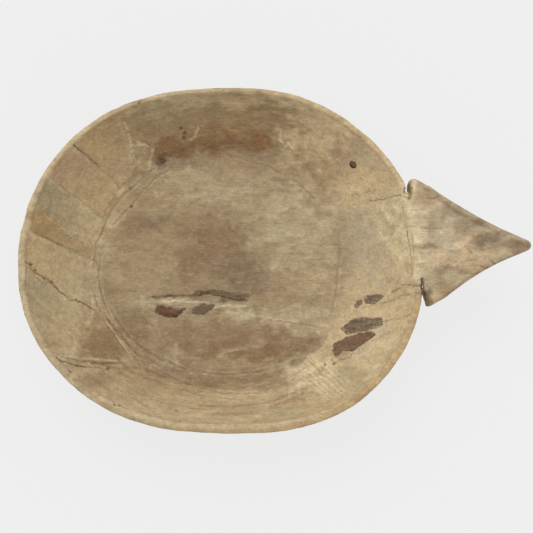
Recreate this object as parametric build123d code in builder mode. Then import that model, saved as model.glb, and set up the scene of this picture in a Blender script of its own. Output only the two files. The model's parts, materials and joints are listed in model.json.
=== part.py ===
from build123d import *
from math import asin, cos, pi, radians, sin, tan
import os

# A carved feed scoop: an oval bowl with an arrowhead handle, hewn from one block of wood, whose
# hollows and fissure were stopped long ago with dark filler, and which holds one dead knot.
# Millimetres. +Z is up and +X points along the handle. The origin is the middle of the flat
# underside that the scoop stands on.

# --- driving dimensions -------------------------------------------------------------------
bowl_length = 404.0  # over the rim, along X
bowl_width = 346.0  # over the rim, along Y
height = 86.0  # from the underside to the top of the rim
rim_width = 7.0  # flat top of the rim
rim_outer_round = 2.0
hollow_offset = 2.0  # the hollow's middle is this far to the +Y side, so the -Y wall is thicker
foot_wall = 17.0  # level thickness of the wall where it meets the floor
floor_length = 258.0  # over the scored line where wall and floor meet
floor_width = 248.0
floor_thickness = 13.0  # in the middle of the floor
floor_dish = 7.0  # from the scored line down to the middle of the floor
base_inset = 18.0  # the underside's edge stands this far inside the scored line

handle_reach = 117.0  # from the end of the bowl to where the handle's long edges would meet
handle_thickness = 26.0  # at the neck
tip_thickness = 15.0
neck_width = 81.0
neck_offset = 22.0  # the neck's middle is this far to the +Y side of the bowl's middle
tip_offset = 13.0  # the tip is this far to the +Y side
notch_bite = 2.0  # the notches beside the neck cut this far into the rim
left_barb = 21.0  # the +Y barb sticks out this far past the neck
left_barb_sweep = 4.0  # and its corner lies this far towards the tip from the notch
right_barb = 32.0
right_barb_sweep = 7.0
left_hollow = 5.6  # how far the handle's long edges curve in
right_hollow = 7.8
barb_round = 3.0
tip_round = 6.0
handle_edge_round = 4.0
haunch_depth = 20.0  # the haunch under the neck reaches this far below the handle
haunch_reach = 34.0  # and this far out from the end of the bowl
haunch_inset = 9.0  # its sides stand this far inside the neck's sides

# The stopped hollows lie in three groups: a fissure in the floor, a pair of patches on the
# wall, and a smaller patch with its tail. A place on the wall is a direction in degrees from
# +X and a share of the wall's height.
filler_depth = 3.0  # the hollows are cut this deep, square to the surface
fissure_x = -18.0
fissure_y = -36.0
pair_direction = -28.0
pair_rise = 0.32
small_direction = -13.8
small_rise = 0.33
knot_direction = 36.4
knot_rise = 0.54
knot_radius = 3.8
knot_depth = 6.0
knot_taper = 8.0  # degrees

# --- the oval -----------------------------------------------------------------------------
# Every level of the bowl is a rounded oval |x/a|^n + |y/b|^n = 1, which hewing by hand left
# uneven: each entry is a number of lobes, their height at the rim in mm, and the direction of
# the first lobe in degrees from +X.
OVAL_POINTS = 32
ROUNDNESS = 2.2
HEWN_LOBES = ((1, 1.5, -26.0), (2, 1.5, -48.0), (3, 1.5, -40.0), (6, 0.9, 5.0))

# Share of the wall's height, and share of the way out from the floor to the rim.
WALL_PROFILE = ((0.0, 0.0), (0.33, 0.40), (0.66, 0.74), (1.0, 1.0))
DISH_PROFILE = ((0.45, 0.72), (1.0, 0.30))  # share of the dish's depth, share of its size
TURN_HEIGHT = 0.42  # of the foot's height, where the underside turns up into the wall
TURN_SPREAD = 0.62
NECK_ROOT = 30.0  # the handle runs this far back into the bowl's wall
CUT_CLEAR = 6.0  # cutters run this far past the surface that they open

foot_z = floor_thickness + floor_dish
rim_inner_length = bowl_length - 2 * rim_width
rim_inner_width = bowl_width - 2 * rim_width


def oval_radius(angle, length, width):
    """How far an oval of that length and width reaches in the direction of angle."""
    along = abs(cos(angle) * 2 / length) ** ROUNDNESS
    across = abs(sin(angle) * 2 / width) ** ROUNDNESS
    radius = (along + across) ** (-1 / ROUNDNESS)
    size = (length + width) / (bowl_length + bowl_width)
    for lobes, lobe_height, direction in HEWN_LOBES:
        radius += size * lobe_height * cos(lobes * (angle - radians(direction)))
    return radius


def oval_points(length, width):
    """Points round that oval."""
    points = []
    for i in range(OVAL_POINTS):
        angle = 2 * pi * i / OVAL_POINTS
        radius = oval_radius(angle, length, width)
        points.append((radius * cos(angle), radius * sin(angle)))
    return points


def rim_end(y):
    """How far out the bowl's rim reaches on the handle side, at that y."""
    angle = 0.0
    for _ in range(8):
        angle = asin(y / oval_radius(angle, bowl_length, bowl_width))
    return oval_radius(angle, bowl_length, bowl_width) * cos(angle)


def wall_level(rise, spread):
    """(height, length, width) of the inside of the wall at a share of its height."""
    return (
        foot_z + (height - foot_z) * rise,
        floor_length + (rim_inner_length - floor_length) * spread,
        floor_width + (rim_inner_width - floor_width) * spread,
    )


def wall_thickness(rise):
    """Level thickness of the wall at a share of its height."""
    return foot_wall + (rim_width - foot_wall) * rise


# --- the bowl -----------------------------------------------------------------------------
base_length = floor_length - 2 * base_inset
base_width = floor_width - 2 * base_inset
turn = 2 * TURN_SPREAD * (base_inset + foot_wall)
outside = [(0.0, base_length, base_width), (TURN_HEIGHT * foot_z, base_length + turn, base_width + turn)]
cavity = []
for rise, spread in WALL_PROFILE:
    z, length, width = wall_level(rise, spread)
    outward = 2 * wall_thickness(rise)
    outside.append((z, length + outward, width + outward))
    cavity.append((z, length, width))

# The cutter for the hollow runs on above the rim, in line with the top of the wall.
top_rise, top_spread = WALL_PROFILE[-2]
lean = (1 - top_spread) / (1 - top_rise)
clear_share = CUT_CLEAR / (height - foot_z)
cavity.append(wall_level(1 + clear_share, 1 + lean * clear_share))
dish = [(foot_z, floor_length, floor_width)]
for depth, size in DISH_PROFILE:
    dish.append((foot_z - floor_dish * depth, floor_length * size, floor_width * size))

with BuildPart() as bowl_blank:
    for z, length, width in outside:
        with BuildSketch(Plane.XY.offset(z)):
            with BuildLine():
                Spline(*oval_points(length, width), periodic=True)
            make_face()
    loft()
    fillet(bowl_blank.edges().group_by(Axis.Z)[-1], rim_outer_round)

# --- the handle ---------------------------------------------------------------------------
# An arrowhead whose flat top is level with the rim. Its barbs stand off the bowl, and each
# notch runs in from a barb's back edge to the rim.
neck_left = neck_offset + neck_width / 2
neck_right = neck_offset - neck_width / 2
left_notch = (rim_end(neck_left) - notch_bite, neck_left)
right_notch = (rim_end(neck_right) - notch_bite, neck_right)
left_tip = (left_notch[0] + left_barb_sweep, neck_left + left_barb)
right_tip = (right_notch[0] + right_barb_sweep, neck_right - right_barb)
bowl_end = bowl_length / 2
handle_tip = (bowl_end + handle_reach, tip_offset)
root_x = bowl_end - NECK_ROOT
handle_bottom = height - handle_thickness

with BuildPart() as handle_blank:
    with BuildSketch(Plane.XY):
        with BuildLine():
            Polyline((root_x, neck_left), left_notch, left_tip)
            SagittaArc(left_tip, handle_tip, -left_hollow)
            SagittaArc(handle_tip, right_tip, -right_hollow)
            Polyline(right_tip, right_notch, (root_x, neck_right), (root_x, neck_left))
        make_face()
        fillet(vertices().sort_by(Axis.X)[-1], tip_round)
        fillet(vertices().sort_by(Axis.Y)[-1], barb_round)
        fillet(vertices().sort_by(Axis.Y)[0], barb_round)
    extrude(amount=height)
    # The underside rises towards the tip.
    with BuildSketch(Plane.XZ):
        with BuildLine():
            Polyline(
                (root_x, handle_bottom),
                (handle_tip[0], height - tip_thickness),
                (handle_tip[0], height),
                (root_x, height),
                close=True,
            )
        make_face()
    extrude(amount=bowl_width, both=True, mode=Mode.INTERSECT)
    fillet(handle_blank.edges().group_by(Axis.Z)[-1], handle_edge_round)
    underside = handle_blank.faces().sort_by(Axis.Z)[0]
    fillet(underside.edges(), handle_edge_round)

# A hollow-curved haunch carries the neck down into the outside of the bowl.
with BuildPart() as haunch:
    with BuildSketch(Plane.XZ.offset(-neck_offset)):
        with BuildLine():
            Bezier(
                (root_x, handle_bottom - haunch_depth),
                (bowl_end, handle_bottom),
                (bowl_end + haunch_reach, handle_bottom + handle_edge_round),
            )
            Polyline(
                (bowl_end + haunch_reach, handle_bottom + handle_edge_round),
                (root_x, handle_bottom + handle_edge_round),
                (root_x, handle_bottom - haunch_depth),
            )
        make_face()
    extrude(amount=neck_width / 2 - haunch_inset, both=True)

with BuildPart() as carved:
    add(bowl_blank.part)
    add(handle_blank.part)
    add(haunch.part)
    for z, length, width in cavity:
        with BuildSketch(Plane((0, hollow_offset, z))):
            with BuildLine():
                Spline(*oval_points(length, width), periodic=True)
            make_face()
    loft(mode=Mode.SUBTRACT)
    for z, length, width in dish:
        with BuildSketch(Plane((0, hollow_offset, z))):
            with BuildLine():
                Spline(*oval_points(length, width), periodic=True)
            make_face()
    loft(mode=Mode.SUBTRACT)


# --- stopped hollows and the knot ---------------------------------------------------------
def straight_below(x, y):
    """The plane that lies on the carved inside straight below (x, y), facing out of the wood."""
    ray = Axis((x, y, height), (0, 0, -1))
    hits = []
    for face in carved.faces():
        hits.extend(face.find_intersection_points(ray))
    point, normal = max(hits, key=lambda hit: hit[0].Z)
    if normal.Z < 0:
        normal = -normal
    return Plane(origin=point, x_dir=(1, 0, 0), z_dir=normal)


def on_wall(direction, rise):
    """The plane on the wall in that direction, at that share of the wall's height."""
    spread = 0.0
    for (rise_below, spread_below), (rise_above, spread_above) in zip(WALL_PROFILE, WALL_PROFILE[1:]):
        if rise_below <= rise <= rise_above:
            share = (rise - rise_below) / (rise_above - rise_below)
            spread = spread_below + (spread_above - spread_below) * share
    _, length, width = wall_level(rise, spread)
    angle = radians(direction)
    radius = oval_radius(angle, length, width)
    return straight_below(radius * cos(angle), hollow_offset + radius * sin(angle))


fissure_plane = straight_below(fissure_x, fissure_y)
pair_plane = on_wall(pair_direction, pair_rise)
small_plane = on_wall(small_direction, small_rise)
knot_plane = on_wall(knot_direction, knot_rise)
fill_reach = filler_depth + CUT_CLEAR

# The dark lump at the fissure's left end.
with BuildPart() as floor_fill_lump:
    add(carved.part)
    with BuildSketch(fissure_plane.offset(-filler_depth)):
        with BuildLine():
            Polyline(
                (-51, -11), (-49, -3.5), (-41, -4.5), (-32, -7), (-20, -6), (-25, -10.5),
                (-30, -15.5), (-41, -15),
                close=True,
            )
        make_face()
    extrude(amount=fill_reach, mode=Mode.INTERSECT)

# A small square piece above the ridge that splits the fissure.
with BuildPart() as floor_fill_square:
    add(carved.part)
    with BuildSketch(fissure_plane.offset(-filler_depth)):
        with BuildLine():
            Polyline(
                (-10, 11), (-4, 11.5), (-4, 7), (-9.5, 7),
                close=True,
            )
        make_face()
    extrude(amount=fill_reach, mode=Mode.INTERSECT)

# The long strip above the ridge.
with BuildPart() as floor_fill_upper_strip:
    add(carved.part)
    with BuildSketch(fissure_plane.offset(-filler_depth)):
        with BuildLine():
            Polyline(
                (-1, 9.5), (6.5, 11.5), (20, 10.5), (30.5, 7), (43, 2), (32.5, 2), (18, 6),
                (6.5, 8),
                close=True,
            )
        make_face()
    extrude(amount=fill_reach, mode=Mode.INTERSECT)

# The grey strip below the ridge.
with BuildPart() as floor_fill_lower_strip:
    add(carved.part)
    with BuildSketch(fissure_plane.offset(-filler_depth)):
        with BuildLine():
            Polyline(
                (-14.5, -10.5), (-10.5, -5.5), (-2, -2.5), (9.5, -3), (5.5, -7.5), (-2, -12),
                close=True,
            )
        make_face()
    extrude(amount=fill_reach, mode=Mode.INTERSECT)

# The lower and larger of the pair on the wall.
with BuildPart() as wall_fill_large:
    add(carved.part)
    with BuildSketch(pair_plane.offset(-filler_depth)):
        with BuildLine():
            Polyline(
                (-30, -10), (-30, -2.5), (-19, 0.5), (-4, 1.8), (12.5, 0.2), (19, -5.5),
                (9, -9.5), (1, -12), (-7.5, -15.5), (-19, -12.5), (-28, -16.5),
                close=True,
            )
        make_face()
    extrude(amount=fill_reach, mode=Mode.INTERSECT)

# The upper of the pair.
with BuildPart() as wall_fill_middle:
    add(carved.part)
    with BuildSketch(pair_plane.offset(-filler_depth)):
        with BuildLine():
            Polyline(
                (-21.5, 13.5), (-14, 16), (-6.5, 19.5), (5, 17.5), (17.5, 13), (27.5, 10.5),
                (27.5, 3.2), (22.5, 1.8), (12.5, 2.5), (-2.5, 4.3), (-14, 5),
                close=True,
            )
        make_face()
    extrude(amount=fill_reach, mode=Mode.INTERSECT)

# The small patch nearest the neck.
with BuildPart() as wall_fill_small:
    add(carved.part)
    with BuildSketch(small_plane.offset(-filler_depth)):
        with BuildLine():
            Polyline(
                (-11.5, 1.5), (-7.5, 4.5), (4, 4), (13, 1), (8, -2), (1.5, -4.5), (-10, -2.5),
                close=True,
            )
        make_face()
    extrude(amount=fill_reach, mode=Mode.INTERSECT)

# Its tail, further down the wall.
with BuildPart() as wall_fill_tail:
    add(carved.part)
    with BuildSketch(small_plane.offset(-filler_depth)):
        with BuildLine():
            Polyline(
                (-23.5, -3.5), (-21, 1.5), (-14, 1), (-14.5, -2.5), (-21, -5.5),
                close=True,
            )
        make_face()
    extrude(amount=fill_reach, mode=Mode.INTERSECT)

# The knot is a tapered plug set square to the wall.
with BuildPart() as dead_knot:
    add(carved.part)
    with BuildSketch(knot_plane.offset(CUT_CLEAR)):
        Circle(knot_radius + CUT_CLEAR * tan(radians(knot_taper)))
    extrude(amount=-(knot_depth + CUT_CLEAR), taper=knot_taper, mode=Mode.INTERSECT)

# --- the body -----------------------------------------------------------------------------
with BuildPart() as scoop_body:
    add(carved.part)
    add(floor_fill_lump.part, mode=Mode.SUBTRACT)
    add(floor_fill_square.part, mode=Mode.SUBTRACT)
    add(floor_fill_upper_strip.part, mode=Mode.SUBTRACT)
    add(floor_fill_lower_strip.part, mode=Mode.SUBTRACT)
    add(wall_fill_large.part, mode=Mode.SUBTRACT)
    add(wall_fill_middle.part, mode=Mode.SUBTRACT)
    add(wall_fill_small.part, mode=Mode.SUBTRACT)
    add(wall_fill_tail.part, mode=Mode.SUBTRACT)
    add(dead_knot.part, mode=Mode.SUBTRACT)

# --- the pieces ---------------------------------------------------------------------------
os.makedirs("parts", exist_ok=True)

scoop_body.part.label = "scoop_body"
export_step(scoop_body.part, "parts/scoop_body.step")

floor_fill_lump.part.label = "floor_fill_lump"
export_step(floor_fill_lump.part, "parts/floor_fill_lump.step")

floor_fill_square.part.label = "floor_fill_square"
export_step(floor_fill_square.part, "parts/floor_fill_square.step")

floor_fill_upper_strip.part.label = "floor_fill_upper_strip"
export_step(floor_fill_upper_strip.part, "parts/floor_fill_upper_strip.step")

floor_fill_lower_strip.part.label = "floor_fill_lower_strip"
export_step(floor_fill_lower_strip.part, "parts/floor_fill_lower_strip.step")

wall_fill_large.part.label = "wall_fill_large"
export_step(wall_fill_large.part, "parts/wall_fill_large.step")

wall_fill_middle.part.label = "wall_fill_middle"
export_step(wall_fill_middle.part, "parts/wall_fill_middle.step")

wall_fill_small.part.label = "wall_fill_small"
export_step(wall_fill_small.part, "parts/wall_fill_small.step")

wall_fill_tail.part.label = "wall_fill_tail"
export_step(wall_fill_tail.part, "parts/wall_fill_tail.step")

dead_knot.part.label = "dead_knot"
export_step(dead_knot.part, "parts/dead_knot.step")
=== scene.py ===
import json
from math import atan, cos, radians, sin

import bmesh
import bpy
import numpy as np
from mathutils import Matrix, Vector
from mathutils.bvhtree import BVHTree
from mathutils.kdtree import KDTree

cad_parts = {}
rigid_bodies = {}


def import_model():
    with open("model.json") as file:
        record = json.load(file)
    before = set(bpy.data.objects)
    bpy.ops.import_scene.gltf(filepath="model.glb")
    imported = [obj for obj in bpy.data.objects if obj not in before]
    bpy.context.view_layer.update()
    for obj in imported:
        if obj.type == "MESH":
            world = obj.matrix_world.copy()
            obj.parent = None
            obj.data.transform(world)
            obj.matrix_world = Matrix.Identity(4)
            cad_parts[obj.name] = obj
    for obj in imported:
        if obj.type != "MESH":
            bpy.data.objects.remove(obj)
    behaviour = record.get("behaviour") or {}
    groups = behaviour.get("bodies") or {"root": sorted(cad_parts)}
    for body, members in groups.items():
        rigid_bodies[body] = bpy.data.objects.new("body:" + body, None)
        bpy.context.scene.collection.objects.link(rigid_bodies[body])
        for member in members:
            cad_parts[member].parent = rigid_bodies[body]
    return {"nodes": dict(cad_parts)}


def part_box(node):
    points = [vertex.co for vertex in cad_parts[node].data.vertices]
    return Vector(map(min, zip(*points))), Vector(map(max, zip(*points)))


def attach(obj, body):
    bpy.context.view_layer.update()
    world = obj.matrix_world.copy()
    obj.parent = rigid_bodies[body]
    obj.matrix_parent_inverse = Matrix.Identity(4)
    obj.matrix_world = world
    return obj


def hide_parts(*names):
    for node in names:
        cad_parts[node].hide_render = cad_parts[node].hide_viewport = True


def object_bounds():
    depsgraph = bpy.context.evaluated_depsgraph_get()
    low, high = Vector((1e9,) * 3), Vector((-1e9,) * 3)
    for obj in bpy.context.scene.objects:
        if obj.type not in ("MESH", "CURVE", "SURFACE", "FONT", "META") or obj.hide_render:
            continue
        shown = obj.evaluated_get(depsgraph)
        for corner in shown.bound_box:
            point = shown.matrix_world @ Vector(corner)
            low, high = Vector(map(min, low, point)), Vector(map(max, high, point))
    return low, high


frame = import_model()

bl_info = {
    "name": "Carved feed scoop",
    "version": (1, 0, 0),
    "blender": (4, 5, 0),
    "location": "View3D > Sidebar > Feed Scoop",
    "description": "A worn wooden feed scoop with stopped hollows, cracks and tool marks",
    "category": "Add Mesh",
}

# Lengths below are in millimetres from the middle of the bowl, +X along the handle.
MM = 0.001
CAD_LOW, CAD_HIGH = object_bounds()
BODY_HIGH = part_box("scoop_body")[1]
RIM_LEVEL = BODY_HIGH.z / MM
HOLLOW_OFFSET = 2.0  # the hollow's middle is this far to the +Y side
FLOOR_HALF_X, FLOOR_HALF_Y = 129.0, 124.0  # half-sizes of the line where wall meets floor
FLOOR_SQUARENESS = 2.2  # 2 would make that line an ellipse
FLOOR_RADIUS = 126.0  # its mean radius
FILLS = (
    "floor_fill_lump",
    "floor_fill_square",
    "floor_fill_upper_strip",
    "floor_fill_lower_strip",
    "wall_fill_large",
    "wall_fill_middle",
    "wall_fill_small",
    "wall_fill_tail",
)
FLOOR_FILLS, WALL_FILLS = FILLS[:4], FILLS[4:]
SET_IN = (*FILLS, "dead_knot")
FILL_MESH, KNOT_MESH = 0.55, 0.35  # spacing of their even meshes


def shade(red, green, blue):
    """A colour written as on a paint card, from 0 to 255, as Blender's linear colour."""
    return tuple(
        c / 255 / 12.92 if c < 10 else ((c / 255 + 0.055) / 1.055) ** 2.4 for c in (red, green, blue)
    )


# --- stains, cracks, tool marks and painted shade and highlights ---------------------------
# Each stain is a ragged oval: middle x and y, half-sizes along and across, turn in degrees,
# the tint it takes and its strength.
STAINS_AND_PAINTED_SHADE = (
    # The first row is the base of the +Y wall: partly soiling, partly painted shade on that wall, which faces
    # away from the light.
    (-13, 149, 100, 35, 0, "drab", 0.85),
    (-47, 159, 40, 8, -8, "grey", 0.5),
    (-44, 124, 35, 9, -6, "red_brown", 0.9),
    (-8, 130, 27, 11, 0, "red_brown", 0.75),
    (28, 128, 22, 11, 0, "red_brown", 0.9),
    (18, 137, 23, 10, 0, "red_brown", 0.55),
    (-63, 112, 9, 5, -20, "dark", 0.6),
    (55, 146, 10, 13, 0, "brown", 0.5),
    (8, 155, 43, 10, 0, "brown", 0.3),
    (68, 153, 15, 14, 0, "brown", 0.5),
    (21, 145, 20, 6, 0, "golden", 0.3),
    (111, 137, 38, 20, 30, "tan_light", 0.8),
    (89, 144, 6, 8, 0, "drab", 0.55),
    (91, 119, 25, 17, 0, "golden_cream", 0.7),
    (126, 114, 16, 14, 0, "mauve_brown", 0.8),
    (114, 107, 12, 10, 0, "mauve_brown", 0.7),
    (144, 110, 18, 20, 40, "grey", 0.6),
    (109, 87, 21, 6, -10, "drab", 0.6),
    (155, 82, 30, 9, -8, "golden_cream", 0.8),
    (165, 24, 29, 46, 0, "cream", 0.6),
    (80, 99, 26, 8, -20, "tan", 0.5),
    (28, 87, 65, 21, 0, "pink_tan", 0.6),
    (-24, 91, 36, 13, 0, "cream", 0.35),
    (-4, 76, 44, 6, -3, "cream", 0.7),
    (47, 64, 34, 8, 0, "cream", 0.75),
    (71, 70, 26, 13, 0, "cream", 0.8),
    (44, 87, 29, 10, 0, "grey", 0.5),
    (-55, 65, 31, 13, 0, "tan", 0.4),
    (-8, 18, 42, 32, 0, "brown", 0.85),
    (-18, 34, 29, 13, 0, "brown", 0.5),
    (20, -10, 29, 19, 0, "drab_dark", 0.7),
    (-28, 5, 16, 15, 0, "brown", 0.6),
    (-45, 43, 38, 15, 0, "brown", 0.45),
    (-86, 44, 21, 13, 0, "brown", 0.6),
    (-100, 27, 9, 13, 0, "brown", 0.5),
    (-77, 47, 8, 6, 0, "drab_dark", 0.5),
    (-115, 33, 9, 33, 0, "golden_tan", 0.6),
    (-108, 15, 16, 17, 0, "pink_tan", 0.4),
    (-75, 6, 21, 15, 0, "tan", 0.4),
    (-114, -76, 31, 16, -25, "brown", 0.9),
    (-133, -67, 12, 8, 0, "red_brown", 0.6),
    (-95, -54, 16, 12, 0, "brown", 0.6),
    (-78, -71, 16, 9, 0, "brown", 0.45),
    (-106, -27, 19, 5, 0, "brown", 0.5),
    (-34, -35, 55, 7, -2, "cream", 0.6),
    (-85, -35, 19, 8, 0, "tan_light", 0.5),
    (-69, -61, 7, 25, 0, "tan_light", 0.4),
    (-23, -69, 55, 15, 0, "brown", 0.65),
    (-1, -86, 46, 9, 0, "red_brown", 0.45),
    (35, -89, 31, 8, 0, "red_brown", 0.65),
    (-59, -109, 31, 6, -22, "brown", 0.7),
    (-8, -117, 38, 6, -3, "brown", 0.8),
    (41, -112, 23, 6, 10, "brown", 0.7),
    (28, -102, 42, 4, 4, "pink_tan", 0.4),
    (69, 43, 42, 24, 0, "cream", 0.7),
    (80, 11, 38, 18, 0, "grey_light", 0.6),
    (82, -18, 40, 18, 0, "pink_tan", 0.5),
    (94, -35, 23, 6, 0, "brown", 0.65),
    (80, -24, 31, 4, 0, "brown", 0.4),
    (71, -50, 34, 8, -6, "cream", 0.9),
    (20, -51, 16, 5, -8, "cream", 0.9),
    (46, -46, 14, 6, 0, "cream", 0.5),
    (69, -75, 31, 14, 12, "brown", 0.9),
    (59, -87, 27, 12, 5, "red_brown", 0.6),
    (77, -97, 13, 5, 25, "dark", 0.6),
    (106, 17, 13, 31, 0, "tan_light", 0.4),
    (143, 16, 21, 27, 0, "grey_mauve", 0.6),
    (134, 32, 12, 19, 0, "grey_mauve", 0.5),
    (166, -19, 9, 8, 0, "grey_mauve", 0.5),
    (161, -45, 27, 8, 15, "golden_cream", 0.8),
    (169, -74, 20, 20, 0, "cream", 0.8),
    (150, -91, 28, 17, 25, "cream", 0.7),
    (161, -100, 14, 8, 45, "golden_cream", 0.5),
    (99, -115, 26, 18, 30, "cream_bright", 0.9),
    (91, -109, 12, 8, 40, "golden_cream", 0.4),
    (129, -119, 24, 11, 28, "grey", 0.9),
    (108, -134, 30, 8, 12, "tan_light", 0.5),
    (177, -59, 8, 22, 5, "golden_cream", 0.6),
    (-61, -142, 33, 10, -18, "tan_light", 0.4),
    (8, -138, 33, 8, 0, "pink_tan", 0.4),
    (58, -149, 28, 8, 8, "grey_light", 0.6),
    (-128, -122, 32, 10, -32, "drab", 0.7),
    (-72, -123, 31, 8, -18, "tan", 0.5),
    (-17, -129, 36, 5, -3, "golden_tan", 0.4),
    (-175, -49, 12, 28, -15, "grey", 0.7),
    (-159, -66, 16, 12, 0, "tan_light", 0.5),
    (-150, -85, 8, 11, 0, "golden_cream", 0.6),
    (-127, -90, 15, 8, 0, "brown", 0.6),
    (-134, -80, 14, 9, 0, "brown", 0.7),
    (201, 26, 30, 38, 0, "cream_bright", 0.7),
    (231, 47, 34, 14, -33, "grey_mauve", 0.9),
    (203, 61, 12, 10, -20, "mauve_brown", 0.6),
    (246, 30, 24, 10, -25, "drab", 0.7),
    (224, 38, 8, 2, -5, "cream_bright", 0.9),
    (260, 19, 16, 5, -12, "dark", 0.9),
    (290, 15, 8, 5, -20, "dark", 0.8),
    (275, 12, 20, 8, -15, "drab_dark", 0.8),
    (297, 8, 9, 6, 0, "brown", 0.8),
    (206, 10, 15, 4, 5, "drab", 0.8),
    (214, 19, 12, 6, 0, "grey_mauve", 0.6),
    (231, 18, 8, 5, 0, "grey_mauve", 0.6),
    (230, 2, 24, 8, 0, "pink_cream", 0.8),
    (243, 14, 12, 6, 0, "pink_cream", 0.7),
    (253, 2, 14, 5, 0, "pink_cream", 0.7),
    (223, -12, 17, 4, -3, "drab_dark", 0.6),
    (237, -12, 9, 3, 0, "drab_dark", 0.5),
    (226, -31, 27, 8, 36, "drab", 0.8),
    (262, -8, 14, 3, 25, "red_brown", 0.5),
    (263, 3, 22, 5, -8, "cream", 0.6),
    (190, 70, 5, 9, 0, "cream_bright", 0.5),
    (213, -41, 10, 5, 40, "golden_tan", 0.6),
    (-84, 109, 9, 13, 0, "golden_cream", 0.7),
    (104, -5, 22, 75, 0, "tan_light", 0.45),
    (-20, -42, 55, 7, 0, "grey", 0.35),
    (-30, -33, 40, 3, 0, "dark", 0.4),
    (-70, -40, 8, 4, 0, "cream", 0.5),
    (-98, 68, 8, 12, -45, "golden_cream", 0.5),
    (-119, 28, 6, 22, 12, "cream", 0.5),
    (-112, -8, 12, 16, 0, "cream", 0.35),
    (97, -73, 12, 3, -28, "dark", 0.35),
    (118, -92, 14, 5, 20, "brown", 0.4),
    (95, -117, 22, 13, 38, "cream_bright", 0.6),
    (124, -128, 20, 8, 38, "grey_light", 0.6),
    (203, 64, 8.5, 6.8, -30, "mauve_brown", 0.6),
    (218, 47, 18.6, 7.6, -32, "grey_mauve", 0.8),
    (238, 35, 10.2, 6.8, -20, "drab_dark", 0.6),
    (231, 49, 25.4, 3.4, -32, "drab_dark", 0.5),
    (251, 35, 22, 3.7, -28, "drab_dark", 0.5),
    (274, 23, 22, 4.7, -25, "drab_dark", 0.65),
    (258, 18, 11.9, 4.1, -8, "dark", 0.5),
    (284, 13, 13.6, 5.1, -15, "drab_dark", 0.6),
    (293, 15, 4.7, 2.7, -20, "dark", 0.7),
    (298, 10, 4.4, 3.7, 0, "brown", 0.6),
    (205, 11, 10.2, 3.1, 0, "drab_dark", 0.65),
    (216, 19, 9.3, 5.1, 0, "grey_mauve", 0.5),
    (217, -12, 9.3, 4.1, -8, "drab_dark", 0.7),
    (237, -13, 8.1, 3.1, 0, "drab_dark", 0.8),
    (222, -28, 10.2, 5.1, 42, "brown", 0.45),
    (244, -13, 13.6, 2.7, 30, "drab", 0.35),
    (232, 2, 25.4, 6.8, 0, "pink_cream", 0.4),
    (189, 28, 10.2, 13.6, 0, "cream", 0.4),
    (190, -2, 8.5, 11.9, 0, "cream", 0.4),
    (222, 38, 7.6, 2.4, 0, "cream", 0.6),
    (206, -40, 4.4, 6.8, 20, "drab", 0.3),
    (131, 30, 13, 24, 0, "grey_mauve", 0.6),
    (149, 3, 16, 12, 0, "grey_mauve", 0.4),
    (-24, -21, 38, 20, 0, "brown", 0.35),
    (98, -45, 26, 26, 0, "tan_light", 0.55),
    (82, 10, 26, 14, 0, "tan_light", 0.5),
    (-126, -35, 12, 32, 0, "drab", 0.4),
    (-111, -87, 16, 14, 0, "drab", 0.5),
    (-18, -120, 88, 13, 0, "drab", 0.35),
    (-7, 164, 66, 8, 0, "tan_light", 0.5),
    (110, -65, 16, 14, 0, "golden_cream", 0.5),
    (18, 29, 30, 42, 0, "brown", 0.25),
    (64, -80, 34, 14, 8, "brown", 0.35),
    # Painted shade on the barbs' steep left faces by the handle's notches: dark strips, each with a paler
    # strip in it.
    (186, 69, 2.0, 10, 3, "dark", 1.0),
    (188, 69, 0.8, 7, 3, "tan", 0.8),
    (204, -38, 2.0, 14, 11, "dark", 1.0),
    (207, -37, 0.9, 10, 11, "tan", 0.8),
    (-85, -37, 13, 6, 0, "cream", 0.6),
    (-46, -34, 26, 2.2, 0, "cream_bright", 0.6),
    (-8, -38, 24, 2, 0, "cream_bright", 0.5),
    (-27, -29, 7, 3, 0, "red_brown", 0.9),
    (11, -32, 15, 2.6, -8, "dark", 0.8),
    (-73, -33, 6, 2.2, 0, "dark", 0.6),
    (-9, -26, 12, 2, 0, "dark", 0.7),
    (-54, -30, 14, 1.6, 0, "dark", 0.5),
    (101, -115, 20, 13, 38, "golden_cream", 0.7),
    (127, -122, 17, 8, 30, "grey_light", 0.7),
    (-158, -56, 20, 22, 0, "golden_cream", 0.35),
    (-158, -79, 12, 14, -40, "tan_light", 0.4),
    (-119, -82, 22, 20, -30, "brown", 0.35),
    (-81, -109, 40, 8, -14, "brown", 0.4),
    (-95, -99, 12, 4, 0, "tan_light", 0.5),
    (19, -137, 90, 9, 0, "tan_light", 0.3),
    (-100, -126, 40, 10, -28, "tan_light", 0.25),
    (-194, -18, 2.4, 9, 4, "cream_bright", 0.9),
    (-193, 41, 5, 12, -14, "golden", 0.7),
    (5, 76, 75, 22, 0, "tan_light", 0.4),
    (99, 134, 45, 18, 0, "tan_light", 0.5),
    (80, 5, 28, 14, 0, "tan_light", 0.4),
    (85, -51, 28, 18, 0, "tan_light", 0.45),
    (64, 162, 24, 6, 0, "tan_light", 0.5),
    (-113, -40, 24, 24, 0, "brown", 0.25),
    (-89, -86, 30, 14, -30, "brown", 0.28),
    (-18, -113, 75, 9, 0, "brown", 0.3),
    (237, 0, 32, 9, 0, "tan", 0.5),
    (206, 11, 9, 3, 0, "drab_dark", 0.55),
    (261, 18, 16, 6, -20, "drab_dark", 0.6),
    (216, -10, 9, 4, 0, "drab_dark", 0.5),
    (236, -13, 7, 2, 0, "drab_dark", 0.5),
    (222, 45, 28, 12, -35, "drab", 0.45),
    (293, 11, 10, 5, -25, "drab_dark", 0.6),
    (178, -45, 10, 12, 0, "tan_light", 0.4),
    # More painted shade on the same two faces.
    (203, -36, 3.4, 14, 15, "drab_dark", 1.0),
    (187, 68, 2.8, 10, 3, "dark", 0.9),
    (97, -118, 16, 11, 38, "cream_bright", 0.45),
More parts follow.
